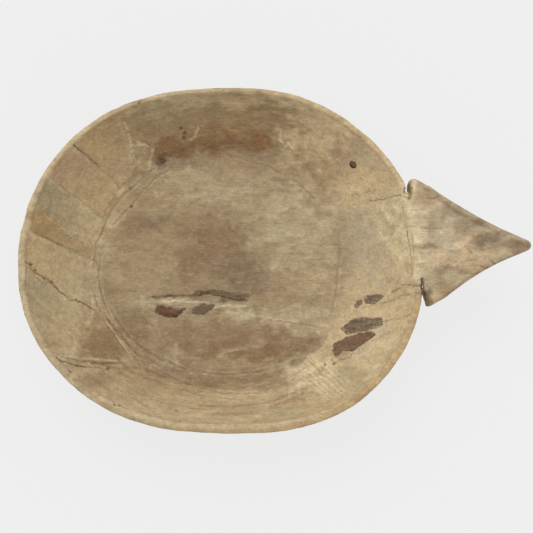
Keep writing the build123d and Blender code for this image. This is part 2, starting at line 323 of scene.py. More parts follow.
    (72, 113, 16, 12, 0, "tan_light", 0.4),
    (36, 65, 16, 10, 0, "tan_light", 0.4),
    (62, 14, 16, 10, 0, "tan_light", 0.4),
    (79, -59, 26, 14, 0, "cream", 0.35),
    (122, 129, 14, 16, 0, "tan_light", 0.4),
    (261, -3, 26, 14, 0, "drab", 0.35),
    (-90, 65, 12, 12, 0, "brown", 0.3),
    (-101, -65, 28, 12, -30, "brown", 0.35),
    (-76, -90, 22, 10, -20, "brown", 0.35),
    (-15, -37, 13, 8, 0, "brown", 0.3),
    (-119, -74, 13, 20, -30, "brown", 0.4),
    (-153, -37, 20, 28, 0, "grey_light", 0.25),
    (-47, -89, 4, 9, 0, "cream", 0.5),
    (-49, -35, 26, 2.4, 0, "cream_bright", 0.8),
    (-5, -39, 26, 2, 0, "cream_bright", 0.7),
    (16, -48, 14, 4, -6, "cream_bright", 0.6),
    (-156, -91, 7, 10, -30, "cream", 0.4),
)

# Each crack is its half-width, its depth, how dark it is, how ragged it is, and its line.
CRACKS_AND_SHADE_LINES = (
    # The first three rows have no depth: they are painted shade lines on the barbs' steep faces by the
    # handle's notches.
    (1.7, 0.0, 0.95, 0.3, ((198, -21), (200, -29), (202, -40), (204, -48))),
    (0.6, 0.0, 0.70, 0.3, ((201, -23), (206, -36), (208, -45))),
    (1.3, 0.0, 0.90, 0.3, ((186, 76), (187, 60))),
    (4.0, 0.0, 0.34, 2.0, ((-95, -99), (-63, -112), (-23, -122), (18, -126), (69, -122), (101, -108))),
    (2.4, 0.0, 0.30, 1.6, ((-111, -89), (-91, -109), (-54, -124), (-7, -131))),
    (3.6, 0.0, 0.60, 1.4, ((195, 75), (217, 59), (238, 44), (266, 30), (287, 20), (302, 11))),
    (1.4, 0.0, 0.50, 0.8, ((207, -49), (225, -33), (245, -18), (275, -3), (302, 7))),
    (1.2, 0.0, 0.30, 0.8, ((65, -134), (68, -122), (78, -108), (92, -99))),
    (0.4, 0.5, 0.50, 0.3, ((-191, -9), (-191, -18), (-192, -27))),
    (0.5, 0.8, 0.60, 1.6, ((-146, -98), (-130, -101), (-118, -100), (-97, -100))),
    (1.0, 2.5, 0.90, 0.2, ((198, -28), (198, -20))),
    (0.5, 0.7, 0.55, 1.0, ((171, -59), (186, -55))),
    (1.1, 1.0, 0.85, 1.4, ((-72, -32), (-54, -29), (-37, -29), (-16, -26), (4, -30), (21, -33))),
    (0.5, 0.8, 0.60, 1.4, ((-78, -39), (-61, -37), (-27, -37), (11, -38))),
    (0.6, 0.8, 0.75, 0.8, ((-75, -44), (-67, -46))),
    (0.5, 0.7, 0.65, 1.0, ((-37, -48), (-18, -49), (-3, -48))),
    (0.4, 0.5, 0.50, 1.4, ((21, -38), (46, -42), (72, -47))),
    (0.4, 0.6, 0.60, 1.2, ((-60, -33), (-40, -34), (-20, -33))),
    (0.6, 1.2, 0.55, 0.5, ((-146, 114), (-142, 111), (-134, 107), (-130, 103), (-125, 100))),
    (0.6, 1.2, 0.6, 0.6, ((-184, 28), (-173, 23), (-163, 19), (-154, 15), (-146, 13))),
    (0.7, 1.6, 0.85, 1.5, ((-192, -3), (-188, -6), (-183, -13), (-176, -17), (-170, -20), (-164, -27))),
    (0.6, 1.4, 0.75, 1.0, ((-164, -27), (-158, -32), (-152, -37), (-148, -36), (-140, -40), (-131, -45))),
    (0.6, 0.8, 0.45, 2.0, ((-188, -10), (-184, -16), (-175, -23))),
    (0.8, 1.8, 0.85, 0.6, ((-160, -97), (-154, -101), (-146, -103), (-135, -105), (-129, -106))),
    (0.8, 1.2, 0.55, 2.0, ((-129, -106), (-117, -106), (-108, -106), (-101, -104))),
    (0.5, 0.9, 0.45, 1.6, ((-155, -97), (-139, -98), (-127, -99), (-118, -102), (-110, -100), (-96, -101))),
    (0.6, 1.2, 0.8, 0.5, ((-157, -100), (-151, -105), (-145, -112))),
    (0.7, 1.0, 0.55, 0.8, ((185, 61), (178, 64), (171, 64), (162, 63), (150, 64))),
    (0.6, 0.7, 0.45, 2.5, ((164, 71), (152, 73), (142, 72), (130, 72))),
    (0.6, 1.2, 0.75, 1.0, ((197, -27), (188, -26), (183, -24), (178, -27), (170, -30))),
    (0.6, 1.1, 0.7, 0.7, ((199, -34), (187, -34), (178, -35), (169, -39), (159, -41))),
    (0.6, 0.6, 0.35, 0.8, ((159, -41), (150, -42), (141, -44))),
    (0.4, 0.6, 0.4, 0.6, ((47, -54), (60, -56), (79, -59), (103, -63))),
    (0.4, 0.4, 0.3, 0.6, ((7, -38), (26, -38), (42, -40))),
    (0.4, 0.4, 0.25, 0.6, ((41, 46), (69, 46), (110, 44))),
    (0.4, 0.5, 0.35, 0.6, ((61, -16), (85, -17), (110, -17))),
    (0.4, 0.4, 0.3, 0.8, ((59, -31), (90, -30), (120, -29))),
    (0.4, 0.4, 0.25, 0.5, ((60, 6), (88, 7), (112, 8))),
    (0.4, 0.4, 0.25, 0.5, ((133, 14), (155, 19), (177, 22))),
    (0.4, 0.4, 0.25, 0.5, ((118, -24), (131, -17), (145, -12))),
    (0.4, 0.6, 0.35, 0.3, ((182, 48), (192, 48), (203, 48))),
    (0.4, 0.6, 0.35, 0.4, ((183, 33), (202, 30), (227, 29))),
    (0.4, 0.6, 0.5, 0.5, ((187, 13), (199, 10))),
    (0.4, 0.5, 0.3, 0.5, ((188, 65), (200, 65))),
    (0.5, 0.8, 0.45, 1.6, ((212, -3), (226, -4), (235, -3), (245, -2), (255, 0))),
    (0.7, 0.9, 0.65, 0.9, ((244, 9), (248, 5))),
    (0.5, 0.8, 0.55, 0.9, ((250, 10), (259, 10))),
    (0.5, 0.9, 0.7, 0.6, ((266, -2), (271, -6))),
    (0.5, 0.9, 0.6, 0.6, ((255, -7), (261, -10))),
    (0.8, 1.0, 0.65, 0.8, ((204, 62), (208, 59), (212, 60))),
    (1.0, 1.0, 0.45, 1.5, ((119, -96), (128, -95), (132, -91))),
    (0.6, 0.9, 0.5, 1.5, ((128, -87), (137, -87), (145, -84))),
    (0.5, 0.9, 0.55, 1.0, ((149, -79), (155, -77), (162, -74), (173, -68))),
    (0.7, 0.9, 0.6, 0.6, ((157, -60), (166, -59), (173, -57))),
    (0.9, 1.2, 0.65, 0.6, ((110, -96), (113, -101))),
    (0.5, 0.7, 0.35, 1.2, ((82, -105), (94, -100), (110, -94), (125, -90), (132, -90))),
    (0.8, 0.9, 0.5, 0.6, ((54, -143), (59, -139))),
    (0.8, 0.5, 0.3, 0.8, ((65, -146), (76, -145))),
)

# The same for the scored line on the neck, where the rim's inner edge runs on under the handle.
NECK_LINES = (
    (0.5, 0.8, 0.6, 0.2, ((180, 52), (181, 43), (183, 34))),
    (0.7, 0.9, 0.7, 0.3, ((184, 28), (185, 20), (186, 13))),
    (0.6, 0.8, 0.6, 0.2, ((186, 13), (187, 8), (188, -5), (188, -17))),
    (0.4, 0.4, 0.35, 0.4, ((189, 24), (189, 14), (190, 8), (190, 0))),
)

# Scored arcs near the foot of the wall stand out pale beside a dark line; the pale line is a painted
# highlight on the score's edge. Each is half-width, depth, and the line.
SCORED_ARCS = (
    (0.7, 0.5, ((-72, 103), (-84, 92), (-103, 75), (-117, 56), (-123, 41), (-130, 22), (-133, -2))),
    (0.8, 0.5, ((-132, -26), (-127, -42), (-116, -56), (-105, -70), (-91, -86), (-83, -93))),
    (0.7, 0.4, ((-116, -43), (-106, -58), (-95, -73), (-79, -86), (-59, -97))),
    (0.6, 0.4, ((-123, 24), (-127, 5), (-128, -14), (-123, -35), (-116, -50))),
    (0.6, 0.4, ((-114, 43), (-104, 55), (-94, 65), (-83, 80), (-69, 95), (-53, 103))),
    (0.6, 0.5, ((5, 117), (18, 114), (30, 110), (43, 107), (59, 99), (80, 86), (96, 70))),
    (0.9, 0.6, ((119, 36), (121, 17), (119, -1), (117, -19), (114, -35), (111, -51))),
    (0.5, 0.3, ((-70, -91), (-38, -105), (3, -111), (41, -107), (67, -99))),
    (0.5, 0.3, ((-71, -103), (-42, -118), (-1, -130), (40, -130))),
    (0.5, 0.3, ((-53, -122), (-20, -133), (19, -137))),
)

# Pale scratches and bruises: half-width and line.
PALE_MARKS = (
    (0.8, ((30, -50), (47, -53), (79, -57), (110, -61))),
    (1.5, ((70, -131), (73, -122), (82, -111), (94, -104), (111, -98))),
    (1.1, ((79, -132), (78, -125), (84, -116))),
    (1.0, ((144, -117), (149, -116), (155, -110))),
    (1.0, ((-132, -26), (-132, -49), (-139, -66))),
    (0.9, ((-146, -80), (-147, -95), (-158, -98))),
    (1.0, ((-146, -96), (-118, -97), (-97, -98))),
    (0.8, ((-129, -33), (-118, -57), (-91, -95))),
    (1.4, ((69, -131), (76, -117), (86, -105), (99, -98), (113, -93))),
    (1.2, ((140, -119), (148, -114), (153, -106))),
    (0.9, ((-23, -40), (-8, -40), (7, -40))),
    (1.7, ((5, -46), (18, -48), (32, -50))),
    (0.8, ((-98, 141), (-94, 127), (-92, 112), (-94, 96))),
    (0.8, ((-92, 121), (-80, 124), (-73, 121), (-75, 108), (-80, 95))),
    (1.0, ((38, -51), (47, -52))),
    (2.0, ((-3, -93), (3, -87), (18, -84), (42, -80))),
    (1.5, ((51, -103), (65, -99), (79, -88))),
    (1.4, ((-33, -109), (-27, -112))),
    (1.0, ((-25, 141), (-27, 138), (-28, 134), (-34, 131))),
    (1.0, ((60, 138), (59, 134), (60, 129), (63, 125))),
    (0.8, ((64, 123), (67, 127), (73, 122), (69, 119))),
    (1.2, ((-132, -46), (-133, -54), (-136, -61), (-139, -67))),
    (1.0, ((-145, -81), (-145, -91), (-148, -96))),
    (1.0, ((67, -132), (70, -123), (76, -112), (82, -106))),
    (1.0, ((78, -133), (77, -122), (81, -111))),
    (1.1, ((-92, 122), (-91, 108), (-95, 93))),
    (0.9, ((-73, 124), (-72, 120), (-75, 111), (-77, 105))),
    (1.2, ((111, -69), (107, -79), (98, -87), (87, -96), (76, -105))),
    (0.8, ((-47, -42), (-36, -41))),
)

# Small dark pits and worm holes: x, y, radius, depth.
PITS = (
    (-103, -143, 0.9, 1.0),
    (-98, -144, 0.9, 1.0),
    (-44, -148, 0.9, 0.8),
    (-39, -159, 0.8, 0.6),
    (-95, 63, 2.2, 0.8),
    (-188, -5, 1.6, 1.4),
    (-184, -10, 1.2, 1.2),
    (-170, -20, 1.4, 1.2),
    (-82, 157, 1.3, 1.0),
    (-42, 140, 1.8, 0.8),
    (-39, 136, 2.2, 0.8),
    (-40, 132, 2.2, 0.8),
    (113, -100, 1.6, 1.2),
    (104, -101, 1.0, 0.8),
    (-63, 111, 3.2, 1.4),
    (-146, 114, 1.0, 1.0),
    (-96, 82, 1.4, 0.8),
)

# Width of the paler worn band on the rim: angle round the bowl from the handle, and width.
RIM_BAND = (
    (-180, -160, -140, -120, -95, -75, -60, -45, -30, -15, 15, 40, 60, 90, 124, 150, 180),
    (7.0, 6.0, 5.0, 3.6, 2.9, 4.0, 6.0, 7.6, 7.6, 7.0, 6.0, 6.0, 5.0, 4.0, 5.0, 6.5, 7.0),
)

# Broad tool cuts fan down the far wall between these ridges, from the rim to the foot.
CUT_RIDGES = (
    ((-98, 141), (-94, 127), (-92, 112), (-94, 96), (-101, 82)),
    ((-146, 114), (-125, 100), (-99, 76)),
    ((-170, 83), (-144, 65), (-115, 43)),
    ((-184, 55), (-158, 35), (-129, 13)),
    ((-191, 30), (-163, 18), (-131, 6)),
    ((-194, -3), (-163, -27), (-131, -45)),
    ((-184, -59), (-163, -73), (-140, -91)),
)
# Tints of each cut between two ridges: near the rim and near the foot.
CUT_TINTS = (
    ("golden_tan", "pink_tan"),
    ("pink_tan", "golden_tan"),
    ("grey", "tan_light"),
    ("golden", "golden_tan"),
    ("golden_cream", "tan_light"),
    ("tan_light", "golden_tan"),
)


def tint(label, use, red, green, blue):
    """A colour property with a paint-card default."""
    return bpy.props.FloatVectorProperty(
        name=label, description=use, subtype="COLOR", size=3, min=0, max=1,
        default=shade(red, green, blue),
    )


def length(label, use, millimetres):
    """A length property with its default in millimetres."""
    return bpy.props.FloatProperty(
        name=label, description=use, default=millimetres * MM, min=0, unit="LENGTH"
    )


def number(label, use, value, low=0.0, high=10.0):
    """A plain number property."""
    return bpy.props.FloatProperty(name=label, description=use, default=value, min=low, max=high)


class ScoopCarving(bpy.types.PropertyGroup):
    """Sizes of the tool marks and the wear."""

    mesh_size: length("Mesh size", "Even spacing of the wood's mesh before the cracks are refined", 1.85)
    outside_faces: bpy.props.IntProperty(
        name="Outside faces", description="Triangles left on the hewn outside", default=24000, min=4000
    )
    cut_depth: length("Cut depth", "How deep the broad tool cuts hollow the far wall", 1.3)
    scallop_size: length("Scallop size", "Width of the hewing marks outside", 26.0)
    scallop_depth: length("Scallop depth", "Depth of the hewing marks outside", 1.1)
    flute_pitch: length("Flute pitch", "Spacing of the fine gouge flutes", 4.5)
    flute_depth: length("Flute depth", "Depth of the fine gouge flutes", 0.8)
    foot_groove: length("Foot groove", "Depth of the line scored where wall meets floor", 0.7)
    unevenness: length("Unevenness", "How far the hand-worked surfaces wander", 0.6)
    rim_wear: length("Rim wear", "How far the worn stretch of rim is rounded away", 3.6)
    neck_shelf: length("Neck shelf", "Extra width of the rim where the handle joins", 5.0)
    fill_spread: number(
        "Filler spread", "How far the stopping is smeared past its hollow, as a share", 0.05, 0.0, 0.2
    )
    fill_swell: length("Filler swell", "How far the stopping stands proud of the wood", 0.25)
    fill_ragged: length("Filler raggedness", "How far the stopping's edge wanders", 1.6)


class ScoopTints(bpy.types.PropertyGroup):
    """Colours of the wood, its stains and the stopping."""

    # Tan is also the paler strip painted in the shade on each barb's face.
    tan: tint("Tan", "Bare wood of the floor", 160, 139, 106)
    # Light tan is also painted on the walls that face the light, as painted light.
    tan_light: tint("Light tan", "Paler bare wood", 177, 158, 125)
    golden_tan: tint("Golden tan", "Fresh cuts", 168, 144, 107)
    golden: tint("Golden", "Oiled cuts", 160, 134, 94)
    golden_cream: tint("Golden cream", "Clean wood by the neck", 180, 159, 122)
    cream: tint("Cream", "Palest bare wood", 183, 167, 135)
    # Bright cream is also the painted highlight on the cut ridges, on the flute ridges and beside the scored
    # arcs.
    cream_bright: tint("Bright cream", "Scraped wood", 196, 180, 146)
    pink_tan: tint("Pink tan", "Rubbed wood", 170, 145, 114)
    pink_cream: tint("Pink cream", "Rubbed wood on the handle", 190, 166, 134)
    grey: tint("Grey", "Weathered wood", 156, 142, 112)
    grey_light: tint("Light grey", "Lightly weathered wood", 172, 158, 128)
    grey_mauve: tint("Grey mauve", "Handled and soiled wood", 159, 144, 121)
    # Drab is also painted over the +Y wall as painted shade.
    drab: tint("Drab", "Soiled wall", 146, 126, 96)
    # Dark drab is also painted shade on the barb's face by the lower notch.
    drab_dark: tint("Dark drab", "Dark soiling", 128, 110, 86)
    mauve_brown: tint("Mauve brown", "Bruised wood", 153, 129, 102)
    # Brown is also the painted shade in the flutes' hollows.
    brown: tint("Brown", "Feed stains", 138, 113, 84)
    red_brown: tint("Red brown", "Old deep stains", 130, 99, 68)
    # Dark is also the painted shade on the barbs' faces and along the cut ridges.
    dark: tint("Dark", "Pits and grime", 105, 86, 62)
    # Also the colour of the painted shade lines on the barbs' faces.
    crack_and_shade: tint("Crack", "Inside the cracks", 86, 61, 39)
    handle: tint("Handle", "Handled wood of the handle", 160, 144, 116)
    rim: tint("Rim", "Flat top of the rim", 176, 158, 126)
    outside: tint("Outside", "Hewn outside", 160, 136, 101)
    stopping_red: tint("Red stopping", "Dark red-brown stopping", 82, 52, 38)
    stopping_brown: tint("Brown stopping", "Mid brown stopping", 116, 88, 66)
    stopping_grey: tint("Grey stopping", "Grey-brown stopping", 116, 97, 79)
    worn_dark: tint("Worn dark stopping", "Dark streaks in the wall stopping", 102, 82, 64)
    worn_red: tint("Worn red stopping", "Red-brown wall stopping", 134, 105, 82)
    worn_grey: tint("Worn grey stopping", "Grey wall stopping", 133, 118, 99)
    stopping_pale: tint("Pale stopping", "Rubbed patches in the stopping", 160, 140, 114)
    knot_heart: tint("Knot heart", "Middle of the dead knot", 108, 92, 76)
    knot_edge: tint("Knot edge", "Bark ring round the knot", 62, 48, 36)


class ScoopStudio(bpy.types.PropertyGroup):
    """The camera, the lights and the floor."""

    camera_distance: length("Camera distance", "From the rim to the camera", 1430.0)
    camera_height: bpy.props.FloatProperty(
        name="Camera elevation", description="Angle above the horizon", default=radians(83), subtype="ANGLE"
    )
    frame_width: length("Frame width", "Width of the view at the rim", 524.1)
    aim_x: length("Aim along", "How far from the bowl's middle the camera aims, along the handle", 45.1)
    aim_y: bpy.props.FloatProperty(
        name="Aim across", description="How far to the side the camera aims", default=-7.9 * MM, unit="LENGTH"
    )
    key_power: number("Key power", "Strength of the large soft light", 1.1)
    key_softness: bpy.props.FloatProperty(
        name="Key softness", description="How wide the soft light is", default=radians(40), subtype="ANGLE"
    )
    sky: number("Surround", "Strength of the even white surround", 0.80)
    floor_glow: number("Floor glow", "How much the floor lights itself, as a light table does", 0.775)


# --- random bumps ----------------------------------------------------------------------------
def bumps(points, spacing, seed):
    """Smooth random bumps from 0 to 1; spacing is their size along x, y and z."""
    lattice = np.random.RandomState(seed).rand(32, 32, 32)
    places = points / np.asarray(spacing, float) + 500.0 + seed * 7.31
    cell = np.floor(places).astype(int)
    part = places - cell
    part = part * part * (3 - 2 * part)
    total = np.zeros(len(points))
    for i in range(8):
        step = np.array((i >> 2 & 1, i >> 1 & 1, i & 1))
        weight = np.where(step, part, 1 - part).prod(axis=1)
        a, b, c = ((cell + step) & 31).T
        total += weight * lattice[a, b, c]
    return total


def layered(points, spacing, seed, layers=3):
    """Bumps with finer bumps on them, from about -1 to 1."""
    total = np.zeros(len(points))
    spacing = np.ones(3) * spacing
    for i in range(layers):
        total += (bumps(points, spacing / 2**i, seed + 17 * i) - 0.5) / 2**i
    return 2 * total / (2 - 0.5 ** (layers - 1)) * 1.5


def ease(values):
    """0 below 0, 1 above 1, and a smooth step between."""
    t = np.clip(values, 0, 1)
    return t * t * (3 - 2 * t)


def line_distance(points, line):
    """Distance in plan from each point to a line of several stretches, and the side it is on."""
    best = np.full(len(points), 1e9)
    side = np.zeros(len(points))
    for a, b in zip(line, line[1:]):
        a, b = np.array(a, float), np.array(b, float)
        run = b - a
        t = np.clip((points[:, :2] - a) @ run / (run @ run), 0, 1)
        away = points[:, :2] - (a + t[:, None] * run)
        gap = np.hypot(away[:, 0], away[:, 1])
        nearer = gap < best
        best = np.where(nearer, gap, best)
        side = np.where(nearer, np.sign(run[0] * away[:, 1] - run[1] * away[:, 0]), side)
    return best, side


class Wander:
    """How far marks wander from their drawn course at each point, small to broad, and the grain."""

    def __init__(self, points):
        self.fine = self.pair(points, (4.5, 3.2, 3.2), 21)
        self.middle = self.pair(points, (11.0, 8.0, 8.0), 23)
        self.broad = self.pair(points, (34.0, 24.0, 24.0), 25)
        self.grain = layered(points, (16.0, 3.2, 3.2), 27, 2)
        self.patches = layered(points, (9.0, 7.0, 7.0), 29, 3)

    def pair(self, points, spacing, seed):
        """How far along x and along y."""
        return np.column_stack((layered(points, spacing, seed, 2), layered(points, spacing, seed + 50, 2)))


def ragged_line(points, wander, line, ragged):
    """Distance to a line whose course wanders by about ragged millimetres."""
    moved = points[:, :2] + ragged * (0.8 * wander.fine + 0.5 * wander.middle)
    return line_distance(moved, line)[0]


def ragged_oval(points, wander, x, y, half_x, half_y, turn, raggedness=0.75):
    """1 in the middle of a ragged, patchy oval, falling to 0 past its edge."""
    size = min(half_x, half_y)
    moved = points[:, :2] + raggedness * (
        0.5 * min(size, 5.0) * wander.fine
        + 0.6 * min(size, 14.0) * wander.middle
        + (0.5 * min(size, 40.0) if size > 12 else 0.0) * wander.broad
    )
    c, s = cos(radians(-turn)), sin(radians(-turn))
    dx, dy = moved[:, 0] - x, moved[:, 1] - y
    along = c * dx + s * dy
    across = -s * dx + c * dy
    inward = (1.35 - np.hypot(along / half_x, across / half_y)) / 0.75
    broken = 0.4 * wander.grain + 0.8 * wander.patches
    return ease(inward + raggedness * broken)


# --- the carved surface ------------------------------------------------------------------------
def foot_share(points):
    """1 on the line where wall meets floor, less inside it, more outside it."""
    along = np.abs(points[:, 0]) / FLOOR_HALF_X
    across = np.abs(points[:, 1] - HOLLOW_OFFSET) / FLOOR_HALF_Y
    return (along**FLOOR_SQUARENESS + across**FLOOR_SQUARENESS) ** (1 / FLOOR_SQUARENESS)


def carved_side(normals):
    """1 where the wood faces up, in the hollow and on the handle, 0 on the hewn outside."""
    return ease((normals[:, 2] - 0.02) / 0.12)


def mesh_arrays(mesh):
    """Vertices in millimetres and their normals."""
    places = np.empty(len(mesh.vertices) * 3, np.float32)
    mesh.vertices.foreach_get("co", places)
    normals = np.empty(len(mesh.vertices) * 3, np.float32)
    mesh.vertex_normals.foreach_get("vector", normals)
    return places.reshape(-1, 3).astype(float) / MM, normals.reshape(-1, 3).astype(float)


def set_places(mesh, places):
    """Writes vertices in millimetres back to the mesh."""
    mesh.vertices.foreach_set("co", (places * MM).astype(np.float32).ravel())
    mesh.update()


def relax(mesh, places, weight, rounds):
    """Evens out the vertices by moving each towards its neighbours' middle."""
    edges = np.empty(len(mesh.edges) * 2, np.int32)
    mesh.edges.foreach_get("vertices", edges)
    a, b = edges.reshape(-1, 2).T
    count = np.bincount(a, minlength=len(places)) + np.bincount(b, minlength=len(places))
    for _ in range(rounds):
        middle = np.empty_like(places)
        for k in range(3):
            total = np.bincount(a, places[b, k], len(places)) + np.bincount(b, places[a, k], len(places))
            middle[:, k] = total / np.maximum(count, 1)
        places = places + weight[:, None] * (middle - places)
    return places


def refine(mesh, chosen):
    """Splits every edge whose two ends are chosen."""
    bm = bmesh.new()
    bm.from_mesh(mesh)
    flags = chosen.tolist()
    edges = [e for e in bm.edges if flags[e.verts[0].index] and flags[e.verts[1].index]]
    bmesh.ops.subdivide_edges(bm, edges=edges, cuts=1, use_grid_fill=True)
    bm.to_mesh(mesh)
    bm.free()
    mesh.update()


def evaluated(obj):
    """A new mesh of the object with its modifiers applied."""
    return bpy.data.meshes.new_from_object(obj.evaluated_get(bpy.context.evaluated_depsgraph_get()))


def welded_copy(node, collection):
    """A copy of a CAD node with its seams welded, in a collection of its own."""
    mesh = frame["nodes"][node].data.copy()
    mesh.materials.clear()
    bm = bmesh.new()
    bm.from_mesh(mesh)
    bmesh.ops.remove_doubles(bm, verts=bm.verts, dist=1e-6)
    bm.to_mesh(mesh)
    bm.free()
    piece = bpy.data.objects.new("blank_" + node, mesh)
    collection.objects.link(piece)
    return piece


def even_solid(obj, size):
    """The object's solid as an evenly spaced mesh."""
    remesh = obj.modifiers.new("even", "REMESH")
    remesh.mode = "VOXEL"
    remesh.voxel_size = size
    mesh = evaluated(obj)
    obj.modifiers.remove(remesh)
    return mesh


def add_piece(name, mesh, material, slot, *nodes):
    """Puts a finished piece in the scene in place of its CAD nodes."""
    mesh.name = name
    mesh.materials.clear()
    mesh.materials.append(material)
    mesh.polygons.foreach_set("use_smooth", np.ones(len(mesh.polygons), bool))
    piece = bpy.data.objects.new(name, mesh)
    bpy.context.scene.collection.objects.link(piece)
    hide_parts(*nodes)
    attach(piece, "root")
    return piece


def colour_layer(mesh, name, colours):
    """Stores a linear colour for each vertex."""
    layer = mesh.color_attributes.new(name, "FLOAT_COLOR", "POINT")
    opaque = np.column_stack((colours, np.ones(len(colours))))
    layer.data.foreach_set("color", opaque.astype(np.float32).ravel())


def number_layer(mesh, name, values):
    """Stores a number for each vertex."""
    mesh.attributes.new(name, "FLOAT", "POINT").data.foreach_set("value", values.astype(np.float32))


# --- node materials ----------------------------------------------------------------------------
class Nodes:
    """A material and the nodes that are laid out in it."""

    def __init__(self, name):
        self.material = bpy.data.materials.new(name)
        self.material.use_nodes = True
        self.tree = self.material.node_tree
        self.shader = self.tree.nodes["Principled BSDF"]

    def add(self, kind, **settings):
        """A new node with its settings."""
        node = self.tree.nodes.new(kind)
        for key, value in settings.items():
            setattr(node, key, value)
        return node

    def link(self, out, into):
        """Joins an output to an input."""
        self.tree.links.new(out, into)

    def noise(self, scale, detail=4.0, distortion=0.0, roughness=0.5):
        """Noise in the piece's own space; scale is bumps per metre along x, y and z."""
        place = self.add("ShaderNodeTexCoord")
        stretch = self.add("ShaderNodeMapping")
        stretch.inputs["Scale"].default_value = scale
        texture = self.add("ShaderNodeTexNoise")
        texture.inputs["Scale"].default_value = 1.0
        texture.inputs["Detail"].default_value = detail
        texture.inputs["Distortion"].default_value = distortion
        texture.inputs["Roughness"].default_value = roughness
        self.link(place.outputs["Object"], stretch.inputs["Vector"])
        self.link(stretch.outputs["Vector"], texture.inputs["Vector"])
        return texture.outputs["Fac"]

    def spread(self, value, low, high, to_low=0.0, to_high=1.0):
        """Stretches a value's range, clamped."""
        node = self.add("ShaderNodeMapRange")
        node.inputs["From Min"].default_value = low
        node.inputs["From Max"].default_value = high
        node.inputs["To Min"].default_value = to_low
        node.inputs["To Max"].default_value = to_high
        self.link(value, node.inputs["Value"])
        return node.outputs["Result"]

    def maths(self, operation, a, b):
        """One sum on two values, each a number or an output."""
        node = self.add("ShaderNodeMath", operation=operation)
        for value, socket in ((a, node.inputs[0]), (b, node.inputs[1])):
            if isinstance(value, (int, float)):
                socket.default_value = value
            else:
                self.link(value, socket)
        return node.outputs["Value"]

    def blend(self, factor, a, b, mode="MIX"):
        """Mixes colour b into colour a."""
        node = self.add("ShaderNodeMix", data_type="RGBA", blend_type=mode)
        for value, socket in ((factor, node.inputs["Factor"]), (a, node.inputs["A"]), (b, node.inputs["B"])):
            if isinstance(value, (int, float)):
                socket.default_value = value
            elif isinstance(value, tuple):
                socket.default_value = (*value[:3], 1.0)
            else:
                self.link(value, socket)
        return node.outputs["Result"]

    def attribute(self, name):
        """Reads what the mesh stores under a name."""
        return self.add("ShaderNodeAttribute", attribute_name=name)

    def bump(self, height, distance, strength=1.0, under=None):
        """Bumps from a height, on top of the bumps under them if there are any."""
        node = self.add("ShaderNodeBump")
        node.inputs["Strength"].default_value = strength
        node.inputs["Distance"].default_value = distance
        self.link(height, node.inputs["Height"])
        if under is not None:
            self.link(under, node.inputs["Normal"])
        return node.outputs["Normal"]


def carved_wood(tints):
    """Dry carved wood: painted stains, with painted light and shade, under streaky grain, pores, mottling and
    fine scratches.
    """
    n = Nodes("carved_wood")
    stains_and_painted_light = n.attribute("stains_and_painted_light").outputs["Color"]
    # Darkness of the cracks, scores and pits, and of the painted shade lines on the barbs.
    crack_and_shade = n.attribute("crack_and_shade").outputs["Fac"]
    streaks = n.noise((22.0, 240.0, 190.0), detail=6.0, distortion=0.8, roughness=0.62)
    fibres = n.noise((75.0, 1300.0, 1100.0), detail=3.0, roughness=0.6)
    mottle = n.noise((95.0, 130.0, 120.0), detail=8.0, distortion=0.5, roughness=0.68)
    blotch = n.noise((230.0, 380.0, 340.0), detail=6.0, distortion=0.8, roughness=0.62)
    specks = n.noise((380.0, 620.0, 560.0), detail=4.0, roughness=0.72)
    flecks = n.noise((210.0, 520.0, 480.0), detail=5.0, distortion=0.9, roughness=0.7)
    rubs = n.noise((120.0, 420.0, 380.0), detail=5.0, distortion=1.4, roughness=0.68)
    warm = n.noise((26.0, 40.0, 34.0), detail=5.0, roughness=0.6)
    colour = n.blend(n.spread(warm, 0.4, 0.66, 0.0, 0.15), stains_and_painted_light, tuple(tints.red_brown), "SOFT_LIGHT")
    for texture, low, high, darkest, palest in (
        (streaks, 0.3, 0.7, 0.93, 1.06),
        (fibres, 0.3, 0.7, 0.91, 1.08),
        (mottle, 0.3, 0.7, 0.80, 1.17),
        (blotch, 0.36, 0.64, 0.87, 1.10),
        (specks, 0.3, 0.7, 0.84, 1.13),
    ):
        colour = n.blend(1.0, colour, n.spread(texture, low, high, darkest, palest), "MULTIPLY")
    colour = n.blend(n.spread(flecks, 0.58, 0.72, 0.0, 0.6), colour, tuple(tints.dark))
    colour = n.blend(n.spread(rubs, 0.59, 0.73, 0.0, 0.6), colour, tuple(tints.cream_bright))
    colour = n.blend(crack_and_shade, colour, tuple(tints.crack_and_shade))
    n.link(colour, n.shader.inputs["Base Color"])
    rough = n.spread(n.maths("ADD", streaks, n.maths("MULTIPLY", mottle, 0.6)), 0.5, 1.1, 0.58, 0.8)
    n.link(n.maths("ADD", rough, n.maths("MULTIPLY", crack_and_shade, 0.2)), n.shader.inputs["Roughness"])
    n.shader.inputs["Specular IOR Level"].default_value = 0.32
    normal = n.bump(mottle, 0.0007, 0.55)
    normal = n.bump(streaks, 0.0006, 0.55, normal)
    normal = n.bump(n.maths("ADD", fibres, n.maths("MULTIPLY", specks, 0.5)), 0.00022, 0.6, normal)
    n.link(normal, n.shader.inputs["Normal"])
    return n.material


